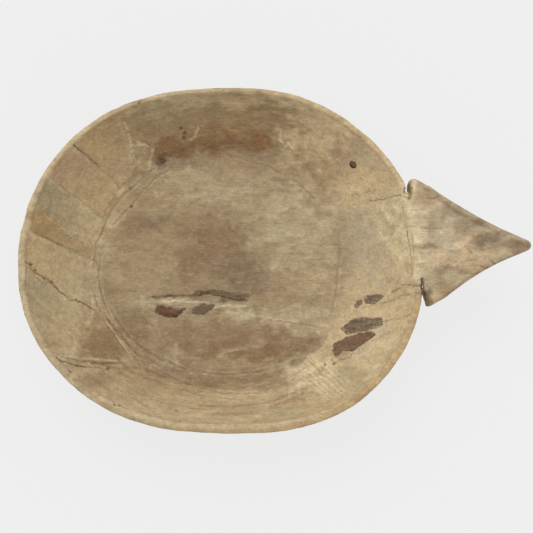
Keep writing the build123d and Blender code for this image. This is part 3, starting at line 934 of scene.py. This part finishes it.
def stopping(name, dark, middle, pale, pale_share):
    """Crumbly stopping in three tones, worn through to the wood in places along its edge."""
    n = Nodes(name)
    edge = n.attribute("edge").outputs["Fac"]
    worn = n.noise((160.0, 520.0, 420.0), detail=5.0, distortion=0.8, roughness=0.65)
    broad = n.noise((70.0, 320.0, 260.0), detail=6.0, distortion=0.7, roughness=0.65)
    fine = n.noise((700.0, 1100.0, 1000.0), detail=4.0, roughness=0.7)
    rubbed = n.noise((60.0, 130.0, 110.0), detail=5.0, distortion=1.0, roughness=0.65)
    colour = n.blend(n.spread(broad, 0.38, 0.62), tuple(dark), tuple(middle))
    patches = n.spread(rubbed, 0.66 - pale_share, 0.74 - pale_share * 0.6, 0.0, 0.8)
    colour = n.blend(patches, colour, tuple(pale))
    through = n.maths("ADD", n.maths("MULTIPLY", edge, 0.2), worn)
    colour = n.blend(n.spread(through, 0.68, 0.78, 0.0, 0.8), colour, tuple(pale))
    colour = n.blend(1.0, colour, n.spread(fine, 0.3, 0.7, 0.82, 1.16), "MULTIPLY")
    n.link(colour, n.shader.inputs["Base Color"])
    n.link(n.spread(fine, 0.2, 0.8, 0.74, 0.94), n.shader.inputs["Roughness"])
    n.shader.inputs["Specular IOR Level"].default_value = 0.25
    normal = n.bump(broad, 0.0008, 0.6)
    n.link(n.bump(fine, 0.0004, 0.8, normal), n.shader.inputs["Normal"])
    return n.material


def knot_wood(tints):
    """A dead knot: rings and checks in grey-brown end grain, dark at the edge."""
    n = Nodes("knot_wood")
    edge = n.attribute("edge").outputs["Fac"]
    fine = n.noise((900.0, 900.0, 900.0), detail=4.0, roughness=0.7)
    broad = n.noise((300.0, 420.0, 300.0), detail=3.0)
    heart = n.blend(n.spread(broad, 0.35, 0.65), tuple(tints.knot_heart), tuple(tints.dark))
    colour = n.blend(edge, heart, tuple(tints.knot_edge))
    colour = n.blend(1.0, colour, n.spread(fine, 0.3, 0.7, 0.8, 1.15), "MULTIPLY")
    n.link(colour, n.shader.inputs["Base Color"])
    n.link(n.spread(fine, 0.2, 0.8, 0.6, 0.85), n.shader.inputs["Roughness"])
    n.shader.inputs["Specular IOR Level"].default_value = 0.3
    n.link(n.bump(fine, 0.0003, 0.7), n.shader.inputs["Normal"])
    return n.material


# --- the wood ------------------------------------------------------------------------------------
def facets(points, spacing, seed):
    """Hollows side by side with ridges between: 0 in the middle of each, 1 on the ridges."""
    jitter = np.random.RandomState(seed).rand(16, 16, 16, 3)
    places = points / np.asarray(spacing, float) + 200.0
    cell = np.floor(places).astype(int)
    best = np.full(len(points), 9.0)
    for i in range(27):
        near = cell + np.array((i // 9 - 1, i // 3 % 3 - 1, i % 3 - 1))
        a, b, c = (near & 15).T
        gap = places - near - (0.2 + 0.6 * jitter[a, b, c])
        best = np.minimum(best, (gap * gap).sum(axis=1))
    return np.clip(best / 0.6, 0, 1)


def cut_shares(points, wander):
    """For each broad cut on the far wall, 0 to 1 from one ridge to the next, or -1 outside it."""
    wobble = points[:, :2] + 0.4 * wander.fine + 1.2 * wander.middle
    gaps = [line_distance(wobble, ridge) for ridge in CUT_RIDGES]
    shares = []
    for (near, side), (far, other) in zip(gaps, gaps[1:]):
        between = (side < 0) & (other > 0)
        shares.append(np.where(between, near / np.maximum(near + far, 1e-6), -1.0))
    return shares


def fluting(points, wander, sizes):
    """Gouge flutes running down the wall: 1 on the ridges between them, -1 in them."""
    across = (points[:, 0] * sin(radians(45)) + points[:, 1] * cos(radians(45))) / (sizes.flute_pitch / MM)
    return np.cos(2 * np.pi * (across + 0.3 * wander.middle[:, 0]))


def polar(points):
    """Angle round the bowl in degrees, 0 towards the handle."""
    return np.degrees(np.arctan2(points[:, 1] - HOLLOW_OFFSET, points[:, 0]))


def window(values, low, high, soft):
    """1 between low and high, falling to 0 over soft outside them."""
    return ease((values - low) / soft + 1) * ease((high - values) / soft + 1)


def fill_gaps(points, node, reach=8.0):
    """Distance from each point to a CAD node's surface, up to reach."""
    mesh = frame["nodes"][node].data
    tree = BVHTree.FromPolygons([v.co for v in mesh.vertices], [p.vertices for p in mesh.polygons])
    low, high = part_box(node)
    low, high = np.array(low) / MM - reach, np.array(high) / MM + reach
    gaps = np.full(len(points), reach)
    for i in np.flatnonzero(((points > low) & (points < high)).all(axis=1)):
        hit = tree.find_nearest(Vector(points[i] * MM), reach * MM)
        if hit[0] is not None:
            gaps[i] = hit[3] / MM
    return gaps


def broad_shape(points, normals, wander, sizes, calm):
    """Moves the even mesh to its hewn, worn shape."""
    x, y, z = points.T
    upper = carved_side(normals)
    share = foot_share(points)
    angle = polar(points)
    wall = ease((share - 1.0) / 0.08) * ease((RIM_LEVEL - 1 - z) / 6) * upper * (x < 190)
    height = sizes.unevenness / MM * upper * (
        0.55 * layered(points, (60.0, 45.0, 45.0), 11, 2) + 0.25 * layered(points, (20.0, 11.0, 11.0), 12, 3)
    )
    for cut in cut_shares(points, wander):
        trough = np.where(cut >= 0, 1 - (2 * cut - 1) ** 2, 0)
        height -= wall * sizes.cut_depth / MM * (trough - 0.35) * (cut >= 0)
    near_side = ease((x + 95) / 30)
    height -= 0.45 * wall * near_side * (1 - facets(points, (36.0, 24.0, 30.0), 41))
    flutes = ragged_oval(points, wander, 101, -116, 27, 16, 38, 0.25) * upper
    height += flutes * sizes.flute_depth / MM * 0.5 * (fluting(points, wander, sizes) - 1)
    height -= 0.5 * ragged_oval(points, wander, 125, -120, 18, 10, 38, 0.25) * upper
    foot = np.exp(-(((share - 1.0) * FLOOR_RADIUS / 1.6) ** 2)) * upper * ease((70 - x) / 40)
    height -= foot * sizes.foot_groove / MM * (0.6 + 0.4 * layered(points, 30.0, 54, 1))
    under = 1 - upper
    height -= under * sizes.scallop_depth / MM * (
        1 - facets(points, np.array((1.3, 1.0, 0.8)) * sizes.scallop_size / MM, 61)
    )
    height -= under * 0.25 * (1 + layered(points, (14.0, 6.0, 6.0), 62, 2))
    height *= calm
    moved = points + height[:, None] * normals
    shelf = window(angle, -5, 17, 6) * ease((z - 30) / 45) * upper * ease((207 - x) / 4) * (share > 1)
    moved[:, 0] -= shelf * sizes.neck_shelf / MM
    worn = window(angle, 91, 124, 3) * ease((z - RIM_LEVEL + 12) / 10)
    reach = np.maximum(np.hypot(x, y), 1.0)
    moved[:, 2] -= worn * ease((share - 1.28) / 0.1) * sizes.rim_wear / MM * (
        0.35 + 0.25 * layered(points, 18.0, 71, 2)
    )
    wave = ease((z - RIM_LEVEL + 14) / 14) * (x < 205)
    moved[:, 2] -= wave * (0.55 + 0.5 * layered(points, (26.0, 26.0, 200.0), 72, 2))
    outward = np.column_stack((x / reach, y / reach, 0 * x))
    edge = ease((z - 40) / 40) * (share > 1.25)
    moved += outward * (edge * 0.45 * layered(points, (16.0, 16.0, 60.0), 73, 3))[:, None]
    barb = ease((y - 63) / 12) * ease((203 - x) / 10) * (x > 184.6) * (y > 63)
    moved[:, 0] -= 4.5 * barb
    moved[:, 2] -= 7 * ease((189.0 + 0.5 * (y - 66) - x) / 5) * barb * upper
    behind = ease((-25 - y) / 7) * (x > 197.7) * (y > -60)
    inner = np.interp(-y, (20, 28, 37, 48), (200.5, 204, 211, 212))
    moved[:, 2] -= 5 * behind * ease((inner - x) / 2.5) * upper
    pulled = moved[:, 0] - 5.4 * behind * ease((224 - x) / 15)
    limit = 197.9 + 0.25 * np.maximum(-28 - y, 0)
    moved[:, 0] = np.where(behind > 0, np.maximum(pulled, np.minimum(limit, moved[:, 0])), moved[:, 0])
    notch = ragged_oval(points, wander, -196, 41, 7, 13, -18, 0.2) * ease((z - RIM_LEVEL + 9) / 6)
    moved[:, 2] -= 3.0 * notch
    chip = ragged_oval(points, wander, -197, -14, 3.2, 12, 4, 0.2) * ease((z - RIM_LEVEL + 9) / 6)
    moved[:, 2] -= 1.6 * chip
    return moved


def line_marks(points, wander, upper):
    """How deep the cracks, scores and pits cut at each point, how dark they are, and how pale the scratches
    and the painted highlights beside the scores are.
    """
    depth = np.zeros(len(points))
    dark = np.zeros(len(points))
    pale_scratch_and_highlight = np.zeros(len(points))
    faint = np.clip(0.65 + 0.6 * wander.patches + 0.4 * wander.grain, 0.15, 1)
    for half, deep, shade_share, ragged, line in CRACKS_AND_SHADE_LINES + NECK_LINES:
        gap = ragged_line(points, wander, line, ragged)
        half = half * (0.75 + 0.45 * wander.patches)
        groove = np.clip(1 - gap / (half + 0.3), 0, 1)
        depth = np.maximum(depth, deep * groove)
        dark = np.maximum(dark, 0.8 * shade_share * faint * ease(1.5 * groove))
    for half, deep, line in SCORED_ARCS:
        gap = ragged_line(points, wander, line, 0.9)
        groove = np.clip(1 - gap / (half + 0.4), 0, 1)
        depth = np.maximum(depth, deep * groove)
        dark = np.maximum(dark, 0.22 * faint * ease(1.4 * groove))
        # Painted highlight beside the score.
        pale_scratch_and_highlight = np.maximum(pale_scratch_and_highlight, 0.55 * faint * np.clip(1 - np.abs(gap - half - 1.6) / 1.8, 0, 1))
    for half, line in PALE_MARKS:
        gap = ragged_line(points, wander, line, 0.8)
        pale_scratch_and_highlight = np.maximum(pale_scratch_and_highlight, 0.8 * faint * ease(1.4 * np.clip(1 - gap / (half + 0.6), 0, 1)))
    for x, y, radius, deep in PITS:
        gap = np.hypot(points[:, 0] - x, points[:, 1] - y) + 0.3 * wander.fine[:, 0]
        pit = np.clip(1 - gap / (radius + 0.5), 0, 1)
        depth = np.maximum(depth, deep * ease(1.6 * pit))
        dark = np.maximum(dark, 0.62 * ease(1.8 * pit))
    return depth * upper, dark * upper, pale_scratch_and_highlight * upper


def near_marks(points, upper, reach):
    """Whether a point is close enough to a crack, score or pit to need finer faces."""
    close = np.zeros(len(points), bool)
    lines = [(m[0], m[-1]) for m in CRACKS_AND_SHADE_LINES + NECK_LINES + SCORED_ARCS if m[1]]
    lines += PALE_MARKS
    for half, line in lines:
        close |= line_distance(points, line)[0] < half + reach
    for x, y, radius, _ in PITS:
        close |= np.hypot(points[:, 0] - x, points[:, 1] - y) < radius + reach
    return close & (upper > 0.5)


def rim_inset(points, angle):
    """How far in from the bowl's outer edge each point lies, seen from above."""
    radius = np.hypot(points[:, 0], points[:, 1])
    near_top = (points[:, 2] > RIM_LEVEL - 5) & (points[:, 0] < 203)
    steps = np.linspace(-180, 180, 241)
    slot = np.clip(((angle + 180) / 1.5).astype(int), 0, 239)
    edge = np.zeros(240)
    np.maximum.at(edge, slot[near_top], radius[near_top])
    return np.interp(angle, 0.5 * (steps[1:] + steps[:-1]), edge, period=360) - radius


def painted(points, normals, wander, marks, sizes, tints):
    """The wood's colour at each point, before the grain goes on, with painted light and shade on the walls,
    the cut ridges, the flutes and the barbs.
    """
    x, y, z = points.T
    pale_scratch_and_highlight = marks[2]
    upper = carved_side(normals)
    share = foot_share(points)
    angle = polar(points)
    mixed = np.array(tints.outside)[None, :] * np.ones((len(points), 1))

    def lay(mask, name):
        mask = np.clip(mask, 0, 1)[:, None]
        mixed[:] = mixed * (1 - mask) + np.array(getattr(tints, name))[None, :] * mask

    lay(0.5 * ease(0.5 + 1.5 * layered(points, (40.0, 22.0, 22.0), 81, 3)), "tan")
    lay(0.45 * ease(-0.2 + 1.5 * layered(points, (30.0, 14.0, 14.0), 82, 3)), "grey")
    lay(0.55 * ease(-0.3 + 1.6 * layered(points, (70.0, 30.0, 24.0), 91, 3)), "brown")
    lay(0.30 * ease(-0.2 + 1.8 * layered(points, (34.0, 2.6, 2.2), 92, 3)), "dark")
    lay(0.35 * ease((z - 58) / 26), "tan_light")
    lay(0.40 * ease((10 - z) / 10), "drab_dark")
    drifted = share + 0.02 * wander.middle[:, 0]
    lay(upper, "tan")
    soft = 0.02 + 0.16 * window(angle, -62, 60, 20)
    wall = upper * ease((drifted - 1.0) / soft + 0.5)
    # Painted shade and light on the walls: drab on the +Y wall, which faces away from the key light, and
    # light tan on the -Y wall and the wall by the handle, which face it. Each also holds some of the wood's
    # own soiling and tone.
    lay(wall * window(angle, 40, 128, 22), "drab")
    lay(wall * window(angle, -135, -48, 22), "tan_light")
    lay(wall * window(angle, -30, 30, 16), "tan_light")
    lay(upper * ease((x - 190) / 6) * (np.abs(y) < 90), "handle")
    cuts = upper * ease((drifted - 0.985) / 0.03)
    patchy = np.clip(0.95 + 0.35 * wander.grain + 0.45 * wander.patches, 0.25, 1.2)
    slope = ease((z - 24) / 44)
    for cut, (top, low) in zip(cut_shares(points, wander), CUT_TINTS):
        lay(cuts * (cut >= 0) * (1 - slope) * 0.85, low)
        lay(cuts * (cut >= 0) * slope * 0.85, top)
        # Painted shade along each ridge between two cuts, and a painted highlight just past it.
        lay(cuts * window(cut, 0.0, 0.03, 0.02) * patchy * 0.3, "dark")
        lay(cuts * window(cut, 0.06, 0.11, 0.04) * patchy * 0.22, "cream_bright")
    rings = layered(np.column_stack((share * FLOOR_RADIUS, angle, 0 * x)), (2.4, 26.0, 1.0), 88, 3)
    swept = upper * window(angle, -150, -38, 18) * window(share, 0.90, 1.22, 0.1)
    lay(swept * 0.75 * ease(1.6 * rings - 0.1), "brown")
    lay(swept * 0.5 * ease(-1.6 * rings - 0.5), "tan_light")
    for px, py, half_x, half_y, turn, name, strength in STAINS_AND_PAINTED_SHADE:
        lay(upper * strength * patchy * ragged_oval(points, wander, px, py, half_x, half_y, turn), name)
    bowl = 1 - ease((x - 181) / 4) * window(y, -30, 57, 3)
    bowl *= 1 - (x > 184.6) * (y > 50)
    bowl *= 1 - (x > 196.5) * (y < -20)
    inset = rim_inset(points, angle)
    width = np.interp(angle, *RIM_BAND) + 0.5 * wander.middle[:, 0]
    off_handle = ease((203 - x) / 4)
    band = upper * bowl * ease((width - inset) / 1.4 + 0.5) * ease((z - RIM_LEVEL + 9) / 3) * off_handle
    band *= 1 - 0.5 * window(angle, 91, 124, 3)
    lay(band * np.clip(patchy, 0, 1) * 0.8, "rim")
    lay(band * 0.5 * (window(angle, 22, 75, 8) + window(angle, -75, -14, 8)), "golden_tan")
    lay(band * 0.6 * window(angle, -125, -12, 10), "golden")
    lay(band * 0.3 * ease(2.2 * layered(points, (9.0, 9.0, 9.0), 85, 3) - 0.5), "brown")
    arris = upper * bowl * np.clip(1 - np.abs(inset - width - 0.4) / 1.1, 0, 1)
    arris *= ease((z - RIM_LEVEL + 12) / 4)
    lay(arris * off_handle * (0.2 + 0.3 * ease(wander.patches + 0.5)), "brown")
    flutes = upper * ragged_oval(points, wander, 101, -116, 27, 15, 38, 0.25)
    # Painted highlight on the flutes' ridges and painted shade in their hollows.
    lay(flutes * 0.75 * ease(0.5 + 1.2 * fluting(points, wander, sizes)), "cream_bright")
    lay(flutes * 0.35 * ease(-0.3 - 1.2 * fluting(points, wander, sizes)), "brown")
    # Pale scratches, and the painted highlights beside the scored arcs.
    lay(0.8 * pale_scratch_and_highlight, "cream_bright")
    # Painted light: the walls are made paler to make up for the shade they get inside the hollow, and more on
    # the +Y wall and on the wall by the handle.
    wall_light_lift = 1 + wall * (0.16 + 0.16 * window(angle, 40, 150, 25) + 0.12 * window(angle, -40, 40, 20))
    drift = 0.05 * layered(points, (40.0, 22.0, 22.0), 86, 3)
    tone = wall_light_lift * (1 + drift + 0.06 * wander.patches + 0.04 * wander.grain)
    return np.clip(mixed * tone[:, None], 0, 1)


def slit(outline, collection):
    """An upright block of the outline in plan, for sawing the notch beside the handle deeper."""
    bm = bmesh.new()
    face = bm.faces.new([bm.verts.new((x * MM, y * MM, -0.01)) for x, y in outline])
    top = bmesh.ops.extrude_face_region(bm, geom=[face])["geom"]
    bmesh.ops.translate(bm, vec=(0, 0, 0.12), verts=[v for v in top if isinstance(v, bmesh.types.BMVert)])
    bmesh.ops.recalc_face_normals(bm, faces=bm.faces)
    mesh = bpy.data.meshes.new("slit")
    bm.to_mesh(mesh)
    bm.free()
    block = bpy.data.objects.new("slit", mesh)
    collection.objects.link(block)
    return block


def cut_solid(body, operation, **settings):
    """Joins other solids to the body or cuts them from it."""
    tool = body.modifiers.new("tool", "BOOLEAN")
    tool.operation = operation
    tool.solver = "EXACT"
    for key, value in settings.items():
        setattr(tool, key, value)
    mesh = evaluated(body)
    body.modifiers.remove(tool)
    body.data = mesh


def wood_mesh(sizes):
    """The scoop's body as hewn, with its cracks; the filled hollows are left a little deep."""
    scene = bpy.context.scene
    blanks = bpy.data.collections.new("blanks")
    fills = bpy.data.collections.new("blank_fills")
    scene.collection.children.link(blanks)
    scene.collection.children.link(fills)
    body = welded_copy("scoop_body", blanks)
    for node in SET_IN:
        welded_copy(node, fills)
    cut_solid(body, "UNION", operand_type="COLLECTION", collection=fills)
    saw = slit(((186.6, 69.0), (183.6, 67.0), (184.6, 59.2), (188.6, 59.0)), fills)
    cut_solid(body, "DIFFERENCE", object=saw)
    mesh = even_solid(body, sizes.mesh_size)
    points, normals = mesh_arrays(mesh)
    points = relax(mesh, points, np.full(len(points), 0.5), 3)
    gap = np.minimum.reduce([fill_gaps(points, node) for node in SET_IN])
    points = broad_shape(points, normals, Wander(points), sizes, 0.15 + 0.85 * ease(gap / 5))
    set_places(mesh, points)
    body.data = thinned(mesh, body, sizes.outside_faces)
    mesh = body.data
    for reach in (0.9, 0.35):
        points, normals = mesh_arrays(mesh)
        refine(mesh, near_marks(points, normals[:, 2] > 0.1, reach))
    points, normals = mesh_arrays(mesh)
    upper = carved_side(normals)
    wander = Wander(points)
    marks = line_marks(points, wander, upper)
    gap = np.minimum.reduce([fill_gaps(points, node, 2.0) for node in SET_IN])
    sunk = ease(1 - (gap - 0.2) / 0.7) * upper
    points = points - (marks[0] + 0.8 * sunk)[:, None] * normals
    set_places(mesh, points)
    for obj in (*blanks.objects, *fills.objects):
        bpy.data.objects.remove(obj)
    bpy.data.collections.remove(blanks)
    bpy.data.collections.remove(fills)
    return mesh, wander, marks, sunk


def thinned(mesh, body, faces):
    """The mesh with the hewn outside simplified, so that the carved side keeps its fine faces."""
    points, normals = mesh_arrays(mesh)
    outside = (normals[:, 2] < 0.02) & (points[:, 2] < RIM_LEVEL - 5)
    body.data = mesh
    group = body.vertex_groups.new(name="outside")
    group.add(np.flatnonzero(outside).tolist(), 1.0, "REPLACE")
    thin = body.modifiers.new("thin", "DECIMATE")
    thin.vertex_group = "outside"
    total = 2 * len(mesh.polygons)
    thin.ratio = min(1.0, (total - 2 * int(outside.sum()) + faces) / total)
    thinner = evaluated(body)
    body.modifiers.remove(thin)
    points, _ = mesh_arrays(thinner)
    points[:, 2] = np.maximum(points[:, 2], CAD_LOW.z / MM)
    set_places(thinner, points)
    return thinner


def small_blank(node, size):
    """A small CAD piece as an even, slightly softened mesh, with its vertices and normals."""
    holder = bpy.data.collections.new("holder")
    bpy.context.scene.collection.children.link(holder)
    blank = welded_copy(node, holder)
    mesh = even_solid(blank, size * MM)
    bpy.data.objects.remove(blank)
    bpy.data.collections.remove(holder)
    points, normals = mesh_arrays(mesh)
    return mesh, relax(mesh, points, np.full(len(points), 0.5), 2), normals


def fill_mesh(node, sizes, seed):
    """One lump of stopping: ragged at its edge, uneven on top and a little proud."""
    mesh, points, normals = small_blank(node, FILL_MESH)
    facing = ease(normals[:, 2] / 0.5)
    up = normals[normals[:, 2] > 0.4].mean(axis=0)
    up /= np.linalg.norm(up)
    spread = points - points.mean(axis=0)
    spread -= (spread @ up)[:, None] * up
    points += sizes.fill_spread * spread
    ragged = sizes.fill_ragged / MM
    warp = np.column_stack([layered(points, (4.0, 2.6, 2.6), seed + k, 3) for k in range(3)])
    warp -= (warp @ up)[:, None] * up
    crumbs = np.column_stack([layered(points, (1.7, 1.4, 1.4), seed + 20 + k, 2) for k in range(3)])
    crumbs -= (crumbs @ up)[:, None] * up
    moved = points + ragged * (0.85 * warp + 0.4 * crumbs)
    rough = sizes.fill_swell / MM + 0.22 * layered(points, (5.0, 3.0, 3.0), seed + 9, 3)
    moved += (facing * rough)[:, None] * up
    sides = KDTree(len(points))
    for i in np.flatnonzero(np.abs(normals @ up) < 0.35).tolist():
        sides.insert(points[i], i)
    sides.balance()
    inward = np.array([sides.find(p)[2] for p in points])
    set_places(mesh, moved)
    number_layer(mesh, "edge", np.clip(1 - inward / 3.5, 0, 1))
    return mesh


def knot_mesh():
    """The dead knot: rings, a check across it and a broken edge."""
    mesh, points, normals = small_blank("dead_knot", KNOT_MESH)
    top = normals[:, 2] > 0.4
    up = normals[top].mean(axis=0)
    up /= np.linalg.norm(up)
    middle = points[top].mean(axis=0)
    away = points - middle
    flat = away - (away @ up)[:, None] * up
    radius = np.linalg.norm(flat, axis=1)
    radius += 0.35 * layered(points, 2.5, 901, 2)
    rings = 0.10 * np.cos(radius * 2 * np.pi / 1.3)
    check = 0.5 * np.clip(1 - np.abs(flat[:, 1] * 0.8 + flat[:, 0] * 0.5) / 0.5, 0, 1)
    rim = 0.7 * ease((radius - 2.9) / 0.9)
    rise = 0.25 + rings - check - rim + 0.12 * layered(points, 1.2, 902, 2)
    moved = points + (ease(normals[:, 2] / 0.5) * rise)[:, None] * up
    set_places(mesh, moved)
    number_layer(mesh, "edge", ease((radius - 2.3) / 1.3))
    return mesh


def set_fills(nodes, sizes, finishes, seed):
    """Puts stopping in hollows; finishes names each one's slot, which is not used, and its material."""
    for k, (node, (slot, finish)) in enumerate(zip(nodes, finishes)):
        mesh = fill_mesh(node, sizes, seed + 20 * k)
        add_piece("stopped_" + node, mesh, finish, slot, node)


# --- operators -----------------------------------------------------------------------------------
class SCOOP_OT_stage(bpy.types.Operator):
    """Set up the camera, the soft lights and the pale floor"""

    bl_idname = "scoop.stage"
    bl_label = "Stage"

    def execute(self, context):
        studio = context.scene.scoop_studio
        scene = context.scene
        scene.view_settings.view_transform = "Standard"
        aim = Vector((studio.aim_x, studio.aim_y, BODY_HIGH.z))
        height = studio.camera_height
        away = Vector((0, -cos(height), sin(height))) * studio.camera_distance
        camera = bpy.data.cameras.new("camera")
        camera.lens_unit = "FOV"
        camera.angle = 2 * atan(studio.frame_width / 2 / studio.camera_distance)
        camera.clip_start = 0.05
        holder = bpy.data.objects.new("camera", camera)
        holder.location = aim + away
        holder.rotation_euler = (-away).to_track_quat("-Z", "Y").to_euler()
        scene.collection.objects.link(holder)
        scene.camera = holder
        self.floor(studio)
        self.lights(studio)
        return {"FINISHED"}

    def floor(self, studio):
        """The pale paper that the scoop stands on."""
        bm = bmesh.new()
        bmesh.ops.create_grid(bm, x_segments=8, y_segments=8, size=3.0)
        mesh = bpy.data.meshes.new("floor")
        bm.to_mesh(mesh)
        bm.free()
        n = Nodes("floor_paper")
        paper = n.spread(n.noise((260.0, 260.0, 260.0), detail=3.0), 0.3, 0.7, 0.985, 1.015)
        n.link(n.blend(1.0, (0.08, 0.08, 0.08), paper, "MULTIPLY"), n.shader.inputs["Base Color"])
        n.shader.inputs["Roughness"].default_value = 0.95
        n.shader.inputs["Specular IOR Level"].default_value = 0.0
        n.shader.inputs["Emission Color"].default_value = (1.0, 1.0, 1.0, 1.0)
        n.shader.inputs["Emission Strength"].default_value = studio.floor_glow
        mesh.materials.append(n.material)
        floor = bpy.data.objects.new("floor", mesh)
        floor.location.z = CAD_LOW.z - 0.0002
        bpy.context.scene.collection.objects.link(floor)

    def lights(self, studio):
        """The even surround and the large soft key light."""
        scene = bpy.context.scene
        world = bpy.data.worlds.new("surround")
        world.use_nodes = True
        world.node_tree.nodes["Background"].inputs["Color"].default_value = (1.0, 1.0, 1.0, 1.0)
        world.node_tree.nodes["Background"].inputs["Strength"].default_value = studio.sky
        scene.world = world
        key = bpy.data.lights.new("key", "SUN")
        key.energy = studio.key_power
        key.angle = studio.key_softness
        key.color = (1.0, 0.985, 0.96)
        holder = bpy.data.objects.new("key", key)
        holder.rotation_euler = Vector((0.35, -0.95, -1.5)).to_track_quat("-Z", "Y").to_euler()
        scene.collection.objects.link(holder)


class SCOOP_OT_body(bpy.types.Operator):
    """Carve the scoop's body from its blank and stain it"""

    bl_idname = "scoop.body"
    bl_label = "Carved body"

    def execute(self, context):
        sizes = context.scene.scoop_carving
        tints = context.scene.scoop_tints
        mesh, wander, marks, sunk = wood_mesh(sizes)
        points, normals = mesh_arrays(mesh)
        # The painted colour holds the stains and the painted light and shade on the walls, ridges, flutes and
        # barbs.
        colour_layer(mesh, "stains_and_painted_light", painted(points, normals, wander, marks, sizes, tints))
        number_layer(mesh, "crack_and_shade", np.clip(np.maximum(marks[1], 0.6 * sunk), 0, 1))
        add_piece("carved_body", mesh, carved_wood(tints), "carved_wood", "scoop_body")
        return {"FINISHED"}


class SCOOP_OT_floor_fills(bpy.types.Operator):
    """Fill the split in the floor with lumps and strips of stopping"""

    bl_idname = "scoop.floor_fills"
    bl_label = "Floor stopping"

    def execute(self, context):
        sizes = context.scene.scoop_carving
        tints = context.scene.scoop_tints
        red = stopping(
            "red_brown_stopping", tints.stopping_red, tints.stopping_brown, tints.stopping_pale, 0.02
        )
        grey = stopping(
            "grey_brown_stopping", tints.dark, tints.stopping_grey, tints.stopping_pale, 0.05
        )
        reds, greys = ("red_brown_filler", red), ("grey_brown_filler", grey)
        set_fills(FLOOR_FILLS, sizes, (reds, reds, greys, greys), 700)
        return {"FINISHED"}


class SCOOP_OT_wall_fills(bpy.types.Operator):
    """Fill the hollows in the wall by the handle with stopping"""

    bl_idname = "scoop.wall_fills"
    bl_label = "Wall stopping"

    def execute(self, context):
        sizes = context.scene.scoop_carving
        tints = context.scene.scoop_tints
        red = stopping(
            "worn_red_stopping", tints.worn_dark, tints.worn_red, tints.stopping_pale, 0.04
        )
        grey = stopping("worn_grey_stopping", tints.worn_dark, tints.worn_grey, tints.tan_light, 0.12)
        reds, greys = ("red_brown_filler", red), ("grey_brown_filler", grey)
        set_fills(WALL_FILLS, sizes, (reds, greys, greys, greys), 800)
        return {"FINISHED"}


class SCOOP_OT_knot(bpy.types.Operator):
    """Set the dead knot in the wall"""

    bl_idname = "scoop.knot"
    bl_label = "Dead knot"

    def execute(self, context):
        finish = knot_wood(context.scene.scoop_tints)
        add_piece("checked_knot", knot_mesh(), finish, "knot_wood", "dead_knot")
        return {"FINISHED"}


class SCOOP_PT_panel(bpy.types.Panel):
    """Buttons and settings for the feed scoop"""

    bl_label = "Feed Scoop"
    bl_idname = "SCOOP_PT_panel"
    bl_space_type = "VIEW_3D"
    bl_region_type = "UI"
    bl_category = "Feed Scoop"

    def draw(self, context):
        layout = self.layout
        for operator in STEPS:
            layout.operator(operator.bl_idname)
        for title, group in (
            ("Carving", context.scene.scoop_carving),
            ("Colours", context.scene.scoop_tints),
            ("Studio", context.scene.scoop_studio),
        ):
            box = layout.box()
            box.label(text=title)
            for name in group.bl_rna.properties.keys():
                if name not in {"rna_type", "name"}:
                    box.prop(group, name)


STEPS = (SCOOP_OT_stage, SCOOP_OT_body, SCOOP_OT_floor_fills, SCOOP_OT_wall_fills, SCOOP_OT_knot)
CLASSES = (ScoopCarving, ScoopTints, ScoopStudio, *STEPS, SCOOP_PT_panel)


def register():
    """Adds the settings, the operators and the panel."""
    for cls in CLASSES:
        bpy.utils.register_class(cls)
    bpy.types.Scene.scoop_carving = bpy.props.PointerProperty(type=ScoopCarving)
    bpy.types.Scene.scoop_tints = bpy.props.PointerProperty(type=ScoopTints)
    bpy.types.Scene.scoop_studio = bpy.props.PointerProperty(type=ScoopStudio)


def unregister():
    """Takes them away again."""
    del bpy.types.Scene.scoop_studio
    del bpy.types.Scene.scoop_tints
    del bpy.types.Scene.scoop_carving
    for cls in reversed(CLASSES):
        bpy.utils.unregister_class(cls)


def main():
    register()
    bpy.ops.scoop.stage()
    bpy.ops.scoop.body()
    bpy.ops.scoop.floor_fills()
    bpy.ops.scoop.wall_fills()
    bpy.ops.scoop.knot()


if __name__ == "__main__":
    main()
